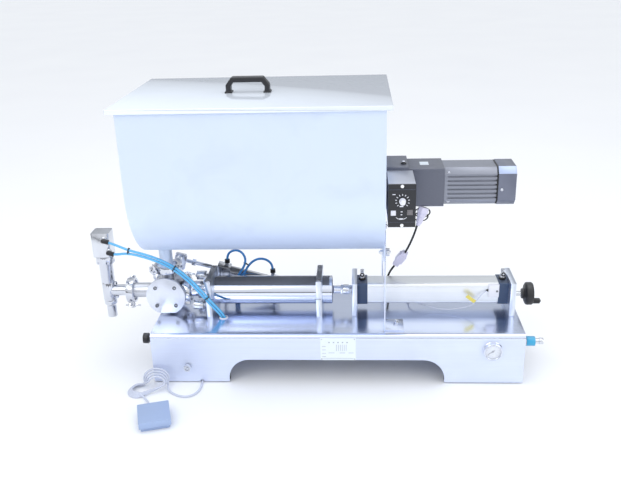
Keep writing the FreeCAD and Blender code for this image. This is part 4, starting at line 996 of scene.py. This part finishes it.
@dataclass
class Base(Assembly):
    """The folded base with its blank nameplate, its pressure gauge and its air controls."""

    front: float = -124.0
    plate_low: tuple[float, float] = (-35.6, 62.6)
    plate_high: tuple[float, float] = (47.6, 121.0)
    gauge_at: tuple[float, float] = (363.5, 88.9)
    ticks: int = 11

    def finishes(self) -> dict[str, tuple[Look, float]]:
        """Returns the finishes of the base's nodes."""
        return {
            "base_housing": (Look.BASE, 0.0), "rubber_feet": (Look.RUBBER, 0.0), "grommets": (Look.WHITE, 0.4),
            "control_gear": (Look.GREY, 0.0), "gauge_case": (Look.TURNED, 0.7), "gauge_needle": (Look.INK, 0.0),
            "throttle_knob": (Look.TURNED, 0.8), "selector_knob": (Look.BLACK, 0.8),
            "air_inlet": (Look.TURNED, 0.6), "inlet_sleeve": (Look.CYAN, 0.8),
        }

    def nameplate(self) -> None:
        """Makes the blank plate with its raised rim, its rivets and its ruled lines."""
        (x0, z0), (x1, z1) = self.plate_low, self.plate_high
        plate = block("nameplate", (x0, self.front - 0.9, z0), (x1, self.front, z1))
        pull(plate, (0, -1, 0), 0.0, 1.4, -0.2)
        self.add(soften(plate, 0.25), Look.PLATE_FOIL, "light_paint")
        face = self.front - 0.7
        rows = [(x0 + 4, x0 + 13, z1 - 22 - 9 * k, 1.1) for k in range(4)]
        rows += [(x0 + 19 + 10.5 * k, x0 + 22.5 + 10.5 * k, z1 - 11.5, 3.0) for k in range(5)]
        rows += [(x0 + 19, x0 + 33, z1 - 39, 1.1), (x0 + 45, x0 + 58, z1 - 39, 1.3), (x0 + 66, x0 + 78, z1 - 39, 1.1)]
        rows += [(x0 + 5, x1 - 5, z0 + 5, 0.9)]
        bars = [soften(block("rule", (a, face - 0.3, z - h / 2), (b, face + 0.1, z + h / 2)), 0.12)
                for a, b, z, h in rows]
        bars += [soften(block("rule", (x0 + x - 0.5, face - 0.3, z1 - 34), (x0 + x + 0.5, face + 0.1, z1 - 17)), 0.12)
                 for x in (38.0, 42.5, 47.0, 51.5, 56.0, 60.5)]
        self.add(join("nameplate_rules", bars), Look.RULE, "light_paint")
        rivets = [turned("rivet", (x, self.front - 0.8, z), (0, -1, 0), [(1.7, 0), (1.6, 0.5), (0.9, 0.9), (0.2, 1.0)], 16)
                  for x in (x0 + 3, x1 - 3) for z in (z0 + 3, z1 - 3)]
        self.add(join("nameplate_rivets", rivets), Look.TURNED, "turned_stainless")

    def gauge(self) -> None:
        """Makes the gauge's rolled bezel, its dial with ticks and its lens."""
        x, z = self.gauge_at
        bezel = turned("gauge_bezel", (x, self.front, z), (0, -1, 0), [
            (22.4, 0), (22.6, 1.2), (21.5, 2.2), (21.5, 8.0), (21.2, 9.6), (20.2, 10.3), (19.2, 10.0), (18.3, 9.2),
            (18.2, 4.3)], 64)
        self.add(bezel, Look.MIRROR, "mirror_stainless")
        dial = turned("gauge_dial", (x, self.front - 4.1, z), (0, -1, 0), [(18.1, 0), (18.1, 0.5), (17.6, 0.7)], 64)
        self.add(dial, Look.GAUGE, "gauge_white")
        marks = []
        for k in range(self.ticks):
            angle = math.radians(-135 + 270 * k / (self.ticks - 1))
            length = 3.2 if k % 2 == 0 else 2.0
            mark = block("tick", (-0.35, -0.15, 15.8 - length), (0.35, 0.15, 15.8))
            mark.matrix_world = (Matrix.Translation(place(x, self.front - 4.85, z)) @ Matrix.Rotation(angle, 4, "Y")
                                 @ Matrix.Translation(-ORIGIN))
            marks.append(soften(settle(mark), 0.08, 1))
        self.add(join("gauge_ticks", marks), Look.INK, "black_plastic")
        lens = turned("gauge_lens", (x, self.front - 7.0, z), (0, -1, 0), [(18.2, 0), (18.2, 0.8), (17.0, 1.3), (9.0, 1.7),
                                                                       (1.0, 1.8)], 64)
        self.add(lens, Look.GLASS)

    def details(self) -> None:
        """Dulls the base's walls and makes the nameplate and the gauge."""
        refinish("base_housing", Look.FRONT, (-440, -126, 0), (440, 126, 116.5))
        self.nameplate()
        self.gauge()


@dataclass
class MaterialCylinder(Assembly):
    """The polished material tube between its split brackets, with its piston and its hand nuts."""

    split_z: float = 175.5
    brackets: tuple[tuple[float, float], ...] = ((-317.0, -298.4), (-52.0, -34.6))

    def finishes(self) -> dict[str, tuple[Look, float]]:
        """Returns the finishes of the cylinder's nodes."""
        return {
            "cylinder_brackets": (Look.PLATE, 0.7), "material_tube": (Look.TUBE, 0.0),
            "material_piston": (Look.WHITE, 0.0), "piston_rod": (Look.MIRROR, 0.6), "rod_coupling": (Look.TURNED, 0.5),
            "screws": (Look.TURNED, 0.6),
        }

    def details(self) -> None:
        """Makes the dark joint line across each bracket's front."""
        seams = []
        for low, high in self.brackets:
            seam = block("seam", (low + 0.4, -31.25, self.split_z - 0.7), (high - 0.4, -30.0, self.split_z + 0.7))
            seams.append(soften(seam, 0.2, 1))
        self.add(join("bracket_seams", seams), Look.SEAM, "plate_aluminium")


@dataclass
class AirCylinder(Assembly):
    """The air cylinder between its plates, with its fittings, its sensor and the wire's tag."""

    axis_y: float = 24.0
    cap_top: float = 205.0
    ports: tuple[float, float] = (63.5, 403.0)
    barrel_x: tuple[float, float] = (76.0, 391.0)
    barrel_y: tuple[float, float] = (-3.0, 51.0)
    barrel_z: tuple[float, float] = (150.0, 204.0)
    corner: float = 8.0
    groove_heights: tuple[float, float] = (195.0, 159.0)

    def finishes(self) -> dict[str, tuple[Look, float]]:
        """Returns the finishes of the cylinder's nodes."""
        return {
            "air_piston": (Look.MIRROR, 0.0), "end_plates": (Look.PLATE, 0.7), "cylinder_caps": (Look.CAP, 0.6),
            "cylinder_barrel": (Look.BARREL, 0.0), "stop_screw": (Look.TURNED, 0.4), "handwheel": (Look.BLACK, 0.5),
            "handwheel_grip": (Look.BLACK, 0.0), "air_fittings": (Look.CHROME, 0.4),
        }

    def barrel(self) -> None:
        """Makes the drawn square barrel with its rounded corners and the sensor grooves in its sides."""
        (x0, x1), (y0, y1), (z0, z1) = self.barrel_x, self.barrel_y, self.barrel_z
        piece = block("barrel_profile", (x0, y0, z0), (x1, y1, z1))
        take_up(piece)
        bpy.ops.object.mode_set(mode="EDIT")
        bpy.ops.mesh.select_mode(type="EDGE")
        bpy.ops.mesh.select_all(action="DESELECT")
        net = bmesh.from_edit_mesh(piece.data)
        for edge in net.edges:
            a, b = edge.verts
            edge.select_set(abs((a.co - b.co).normalized().x) > 0.9)
        bmesh.update_edit_mesh(piece.data)
        bpy.ops.mesh.bevel(offset=self.corner * MM, segments=6)
        for height in self.groove_heights:
            for side in (-0.6, 0.6):
                bpy.ops.mesh.select_all(action="SELECT")
                bpy.ops.mesh.bisect(plane_co=place(0, 0, height + side), plane_no=(0, 0, 1))
        bpy.ops.object.mode_set(mode="OBJECT")
        for height in self.groove_heights:
            level = place(0, 0, height).z
            with faces_of(piece, lambda middle, normal: abs(normal.y) > 0.9 and abs(middle.z - level) < 0.0005):
                bpy.ops.mesh.extrude_region_shrink_fatten(TRANSFORM_OT_shrink_fatten={"value": -1.3 * MM})
        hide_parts("cylinder_barrel")
        take_up(piece)
        bpy.ops.object.shade_smooth_by_angle(angle=math.radians(32))
        self.add(piece, Look.BARREL, "barrel_silver")

    def fittings(self) -> None:
        """Makes the black swivel base and the push-in ring of each cap fitting."""
        for k, x in enumerate(self.ports):
            base = turned(f"port_base_{k + 1}", (x, self.axis_y, self.cap_top - 0.2), (0, 0, 1), [
                (8.4, 0), (8.8, 0.8), (8.8, 4.0), (8.2, 5.2), (6.4, 5.4)])
            self.add(base, Look.BLACK, "black_plastic")
            ring = turned(f"port_ring_{k + 1}", (x, self.axis_y - 13.4, self.cap_top + 17), (0, -1, 0), [
                (4.8, 0), (5.4, 0.4), (5.4, 1.6), (4.0, 2.1), (2.6, 2.1), (2.4, -2.0)])
            self.add(ring, Look.BLACK, "black_plastic")

    def sensor(self) -> None:
        """Makes the white sensor body with its window and its dark cable boot."""
        body = block("sensor_body", (366.5, -9.5, 170.0), (391.5, -0.5, 203.0))
        pull(body, (0, -1, 0), 0.6, 2.0)
        self.add(soften(body, 0.9), Look.WHITE, "white_plastic")
        boot = turned("sensor_boot", (369.0, -3.5, 186.5), (-1.0, -0.05, -0.12), [
            (3.6, 0), (3.6, 3.0), (2.8, 4.4), (2.2, 8.0), (1.5, 8.2)], 24)
        self.add(boot, Look.BLACK, "black_plastic")
        screw = turned("sensor_screw", (386.5, -9.9, 186.5), (0, -1, 0), [(2.6, 0), (2.5, 0.9), (1.2, 0.9), (1.0, 0.3)], 24)
        self.add(screw, Look.DARK_STEEL, "turned_stainless")

    def tag(self) -> None:
        """Makes the flat yellow tag that hangs on the sensor's wire."""
        tag = block("wire_tag", (-13.0, -0.35, -4.8), (13.0, 0.35, 4.8))
        with faces_of(tag, facing((0, -1, 0))):
            bpy.ops.mesh.subdivide(number_cuts=6)
        tag.matrix_world = (Matrix.Translation(place(323.5, -19.6, 171.0)) @ Matrix.Rotation(math.radians(38), 4, "Y")
                            @ Matrix.Rotation(math.radians(14), 4, "X") @ Matrix.Translation(-ORIGIN))
        self.add(soften(settle(tag), 0.2, 1), Look.YELLOW)

    def details(self) -> None:
        """Makes the barrel, the fittings, the sensor and the tag."""
        self.barrel()
        self.fittings()
        self.sensor()
        self.tag()


@dataclass
class RotaryValve(Assembly):
    """The rotary valve with its covers and clamps, and the small cylinder that turns it."""

    stubs: tuple[tuple[float, float], ...] = ((-281.0, 226.0), (-165.0, 198.0))
    drive_y: float = 96.0

    def finishes(self) -> dict[str, tuple[Look, float]]:
        """Returns the finishes of the valve's nodes."""
        return {
            "valve_body": (Look.CAST, 0.5), "valve_covers": (Look.COVER, 0.8), "valve_plug": (Look.TURNED, 0.4),
            "valve_lever": (Look.PLATE, 0.5), "drive_cylinder": (Look.TURNED, 0.5), "drive_rod": (Look.MIRROR, 0.5),
            "tri_clamps": (Look.CHROME, 0.7),
        }

    def details(self) -> None:
        """Darkens the cover's screws and makes the black push-in collars on the drive cylinder's ports."""
        refinish("screws", Look.DARK_STEEL, (-470, -22, 130), (-370, -9, 226))
        for k, (x, top) in enumerate(self.stubs):
            collar = turned(f"drive_collar_{k + 1}", (x, self.drive_y, top - 6.5), (0, 0, 1), [
                (5.6, 0), (6.7, 0.6), (6.7, 5.6), (6.0, 7.0), (5.2, 7.2), (5.2, 8.2), (6.6, 8.4), (6.6, 9.6), (4.0, 10.2),
                (3.2, 10.2), (3.1, 6.0)])
            self.add(collar, Look.BLACK, "black_plastic")


@dataclass
class Nozzle(Assembly):
    """The filling nozzle with its air cylinder and the black push-in elbows."""

    def finishes(self) -> dict[str, tuple[Look, float]]:
        """Returns the finishes of the nozzle's nodes."""
        return {
            "nozzle_tip": (Look.CHROME, 0.4), "nozzle_tee": (Look.CHROME, 0.5), "nozzle_tube": (Look.CHROME, 0.6),
            "nozzle_cylinder": (Look.TURNED, 0.6), "nozzle_needle": (Look.MIRROR, 0.0),
        }

    def details(self) -> None:
        """Blackens the elbows and makes their release rings and swivel collars."""
        refinish("air_fittings", Look.BLACK, (-567, -14, 275), (-535, 2.4, 330))
        for k, (x, z) in enumerate(((-560.0, 320.5), (-551.0, 289.5))):
            way = Vector((0.97, 0.0, -0.243)).normalized()
            end = Vector((x, -7.5, z)) + way * 11.2
            ring = turned(f"nozzle_ring_{k + 1}", tuple(end), tuple(way), [
                (5.4, 0), (6.3, 0.5), (6.3, 1.9), (4.2, 2.6), (3.2, 2.6), (3.1, 0.4)], 32)
            self.add(ring, Look.BLACK, "black_plastic")
            swivel = turned(f"nozzle_swivel_{k + 1}", (x, 2.2, z), (0, -1, 0), [
                (6.8, 0), (7.2, 0.6), (7.2, 3.4), (6.2, 4.2), (5.2, 4.4)], 32)
            self.add(swivel, Look.CHROME, "turned_stainless")


@dataclass
class Hopper(Assembly):
    """The hopper with its lid, its handle and the mixer."""

    def finishes(self) -> dict[str, tuple[Look, float]]:
        """Returns the finishes of the hopper's nodes."""
        return {
            "hopper": (Look.SHEET, 0.0), "shaft_bearings": (Look.WHITE, 0.0), "lid": (Look.LID, 0.8),
            "lid_handle": (Look.BLACK, 1.8), "mixer_shaft": (Look.MIRROR, 0.0), "output_gear": (Look.BRASS, 0.0),
        }

    def details(self) -> None:
        """Makes the foot under each of the handle's legs, which lifts with the lid."""
        for k, x in enumerate((-231.0, -144.5)):
            foot = block(f"handle_foot_{k + 1}", (x - 8.0, -9.0, 670.0), (x + 8.0, 17.0, 673.0))
            pull(foot, (0, 0, 1), 0.8, 2.0)
            self.add(soften(foot, 0.7), Look.BLACK, "black_plastic", "lid")


@dataclass
class GearMotor(Assembly):
    """The grey gear motor with its end cover."""

    middle_y: float = 18.4
    middle_z: float = 452.8

    def finishes(self) -> dict[str, tuple[Look, float]]:
        """Returns the finishes of the motor's nodes."""
        return {
            "gearbox_housing": (Look.GREY, 1.0), "motor_housing": (Look.FINS, 0.6), "motor_rotor": (Look.DARK_STEEL, 0.0),
            "motor_cover": (Look.COVER_GREY, 1.0),
        }

    def details(self) -> None:
        """Makes the blank label, the breather, the screws and the rubber edge of the cover, and paints a highlight on
        one chamfer of the cover.
        """
        y, z = self.middle_y, self.middle_z
        label = block("motor_label", (196.0, y - 14, z + 44.9), (216.0, y + 12, z + 45.5))
        pull(label, (0, 0, 1), 0.0, 1.2, -0.1)
        self.add(soften(label, 0.2), Look.PLATE_FOIL, "light_paint")
        cap = turned("oil_plug", (158.0, y - 24, z + 50.6), (0, 0, 1), [(7.2, 0), (7.2, 2.4), (6.0, 3.4), (3.6, 3.6), (3.4, 5.2),
                                                                      (2.6, 5.8)], 6)
        self.add(cap, Look.BLACK, "black_plastic")
        # Paints a highlight: the lighter grey on the upper front chamfer of the motor's end cover.
        refinish("motor_cover", Look.COVER_EDGE, (368, -28, 483), (412, -12, 499))
        stud = turned("oil_plug_screw", (158.0, y - 24, z + 56.2), (0, 0, 1), [(3.2, 0), (3.3, 0.8), (2.6, 1.6), (0.6, 1.9)], 24)
        self.add(stud, Look.WHITE, "turned_stainless")
        bolts = [turned("bolt", (x, y - 43.4 - drop, z + h), (0, -1, 0), [(3.4, 0), (3.4, 1.8), (2.9, 2.4), (1.5, 2.4),
                                                                         (1.4, 0.8)], 24)
                 for x, h, drop in ((378.0, -6.0, 1.5), (259.0, 33.0, -4.0), (259.0, -33.0, -4.0))]
        self.add(join("motor_screws", bolts), Look.CHROME, "turned_stainless")
        seal = block("motor_seal", (366.5, y - 43.9, z - 43.9), (370.6, y + 43.9, z + 43.9))
        with faces_of(seal, facing((1, 0, 0))):
            pass
        take_up(seal)
        bpy.ops.object.mode_set(mode="EDIT")
        bpy.ops.mesh.select_mode(type="EDGE")
        bpy.ops.mesh.select_all(action="DESELECT")
        net = bmesh.from_edit_mesh(seal.data)
        for edge in net.edges:
            a, b = edge.verts
            edge.select_set(abs((a.co - b.co).normalized().x) > 0.9)
        bmesh.update_edit_mesh(seal.data)
        bpy.ops.mesh.bevel(offset=13.4 * MM, segments=1)
        bpy.ops.object.mode_set(mode="OBJECT")
        self.add(soften(seal, 0.3, 1), Look.RUBBER, "black_rubber")


@dataclass
class SpeedController(Assembly):
    """The box that sets the mixer's speed, and the cable plug beside it."""

    face: float = -141.0
    knob: tuple[float, float] = (149.0, 459.5)
    ticks: int = 11

    def finishes(self) -> dict[str, tuple[Look, float]]:
        """Returns the finishes of the controller's nodes."""
        return {
            "controller_box": (Look.SHELL, 0.8), "controller_panel": (Look.PANEL, 0.0), "speed_knob": (Look.WHITE, 0.6),
            "run_switch": (Look.SWITCH, 0.5),
        }

    def scale_ring(self, radius: float, start: float, stop: float, count: int, long: float, wide: float) -> list:
        """Returns marks set round the knob.

        Args:
            radius: The inner radius of the marks.
            start: The first angle in degrees, clockwise from the top.
            stop: The last angle.
            count: How many marks.
            long: Their length.
            wide: Their width.
        """
        x, z = self.knob
        marks = []
        for k in range(count):
            angle = math.radians(start + (stop - start) * k / (count - 1))
            mark = block("mark", (-wide / 2, -0.25, radius), (wide / 2, 0.25, radius + long))
            mark.matrix_world = (Matrix.Translation(place(x, self.face - 0.2, z)) @ Matrix.Rotation(angle, 4, "Y")
                                 @ Matrix.Translation(-ORIGIN))
            marks.append(soften(settle(mark), 0.1, 1))
        return marks

    def panel(self) -> None:
        """Makes the panel's raised strips, its printed scale, its lamp square and its ruled marks."""
        front = self.face
        strips = [soften(block("strip", (119.5, front - 0.5, low), (176.5, front + 0.2, high)), 0.3)
                  for low, high in ((484.0, 486.0), (411.0, 413.0))]
        self.add(join("panel_strips", strips), Look.SHELL_DARK, "black_plastic")
        marks = self.scale_ring(12.0, -135, 135, self.ticks, 3.6, 1.5)
        marks += [soften(block("mark", (a, front - 0.45, z - h / 2), (b, front + 0.05, z + h / 2)), 0.1, 1)
                  for a, b, z, h in ((127.5, 134.0, 474.3, 1.8), (143.0, 151.0, 447.6, 2.6), (145.5, 149.5, 435.5, 2.0),
                                     (145.5, 149.0, 429.0, 2.0), (142.5, 151.0, 419.3, 3.0))]
        x, z = 147.0, 434.0
        for k in range(9):
            angle = math.radians(180 + 40 * (k - 4) / 4)
            mark = block("mark", (-1.5, -0.25, 15.2), (1.5, 0.25, 16.4))
            mark.matrix_world = (Matrix.Translation(place(x, front - 0.2, z)) @ Matrix.Rotation(angle, 4, "Y")
                                 @ Matrix.Translation(-ORIGIN))
            marks.append(soften(settle(mark), 0.1, 1))
        self.add(join("panel_scale", marks), Look.WHITE, "white_plastic")
        lamp = block("panel_lamp", (124.2, front - 1.6, 427.4), (135.2, front + 0.2, 438.4))
        pull(lamp, (0, -1, 0), 0.0, 1.6, -0.5)
        pull(lamp, (0, -1, 0), 0.6, 1.2)
        self.add(soften(lamp, 0.4), Look.WHITE, "white_plastic")
        refinish("screws", Look.BRIGHT, (143, -144, 400), (153, -140, 497))

    def plug(self) -> None:
        """Makes the clear plug under the gear head with its two looms of thin black wire."""
        body = turned("loom_plug", (205.0, -24.0, 405.5), (-0.30, -0.15, -0.94), [
            (11.5, 0), (12.5, 1.5), (12.5, 13.0), (10.5, 15.0), (10.5, 22.0), (8.0, 24.0), (8.0, 36.0), (5.5, 38.0),
            (5.0, 44.0), (3.2, 45.0)], 8)
        self.add(soften(body, 0.7), Look.LAVENDER, "white_plastic")
        hoops = []
        for at, across, tilt in (((201.5, -26.0, 394.0), 15.5, 62.0), ((198.5, -26.5, 384.0), 14.0, 38.0)):
            put_down()
            bpy.ops.mesh.primitive_torus_add(major_radius=across * MM, minor_radius=1.5 * MM, major_segments=40,
                                             minor_segments=10, location=place(*at),
                                             rotation=(math.radians(78), math.radians(tilt), 0.0))
            hoop = new_piece("hoop")
            with faces_of(hoop, lambda middle, normal: True):
                bpy.ops.transform.resize(value=(1.15, 0.9, 0.72), center_override=place(*at))
            hoops.append(hoop)
        loom = join("loom_wires", hoops)
        bpy.ops.object.shade_smooth()
        self.add(loom, Look.BLACK_CABLE, "cable_black")

    def details(self) -> None:
        """Makes the panel and the plug."""
        self.panel()
        self.plug()


@dataclass
class Supports(Assembly):
    """The legs that carry the hopper."""

    def finishes(self) -> dict[str, tuple[Look, float]]:
        """Returns the finishes of the supports' nodes."""
        return {"support_legs": (Look.BASE, 0.5)}


@dataclass
class FootPedal(Assembly):
    """The foot pedal with the ribs on its treadle and its cable's strain relief."""

    at: tuple[float, float] = (-398.0, -286.0)
    turn: float = 17.0

    def finishes(self) -> dict[str, tuple[Look, float]]:
        """Returns the finishes of the pedal's nodes and of the cables' own solids."""
        return {
            "pedal_base": (Look.PEDAL, 0.6), "pedal_treadle": (Look.PEDAL, 1.2), "cable_connector": (Look.LAVENDER, 0.6),
            "nozzle_air_tubes": (Look.SKY_TUBE, 0.0), "drive_air_tubes": (Look.BLUE_TUBE, 0.0),
            "motor_cable": (Look.BLACK_CABLE, 0.0), "sensor_wire": (Look.GREY_CABLE, 0.0),
            "pedal_cable": (Look.GREY_CABLE, 0.0), "pedal_hank": (Look.GREY_CABLE, 0.0),
        }

    def details(self) -> None:
        """Makes the strain relief where the cable meets the pedal."""
        relief = turned("pedal_relief", (-419.2, -243.8, 5.0), (0.31, 0.95, 0.0), [
            (4.6, 0), (4.8, 0.8), (4.4, 3.0), (4.6, 4.0), (4.0, 7.0), (4.2, 8.0), (3.6, 12.0), (3.2, 18.0), (2.4, 18.4)], 24)
        self.add(relief, Look.RUBBER, "black_rubber")


def main() -> None:
    """Builds the machine's looks, one sub-assembly after another."""
    logging.basicConfig(level=logging.INFO, format="%(name)s: %(message)s")
    Studio().build()
    Cords().build()
    for part in (Base(), MaterialCylinder(), AirCylinder(), RotaryValve(), Nozzle(), Hopper(), GearMotor(),
                 SpeedController(), Supports(), FootPedal()):
        part.build()


if __name__ == "__main__":
    main()
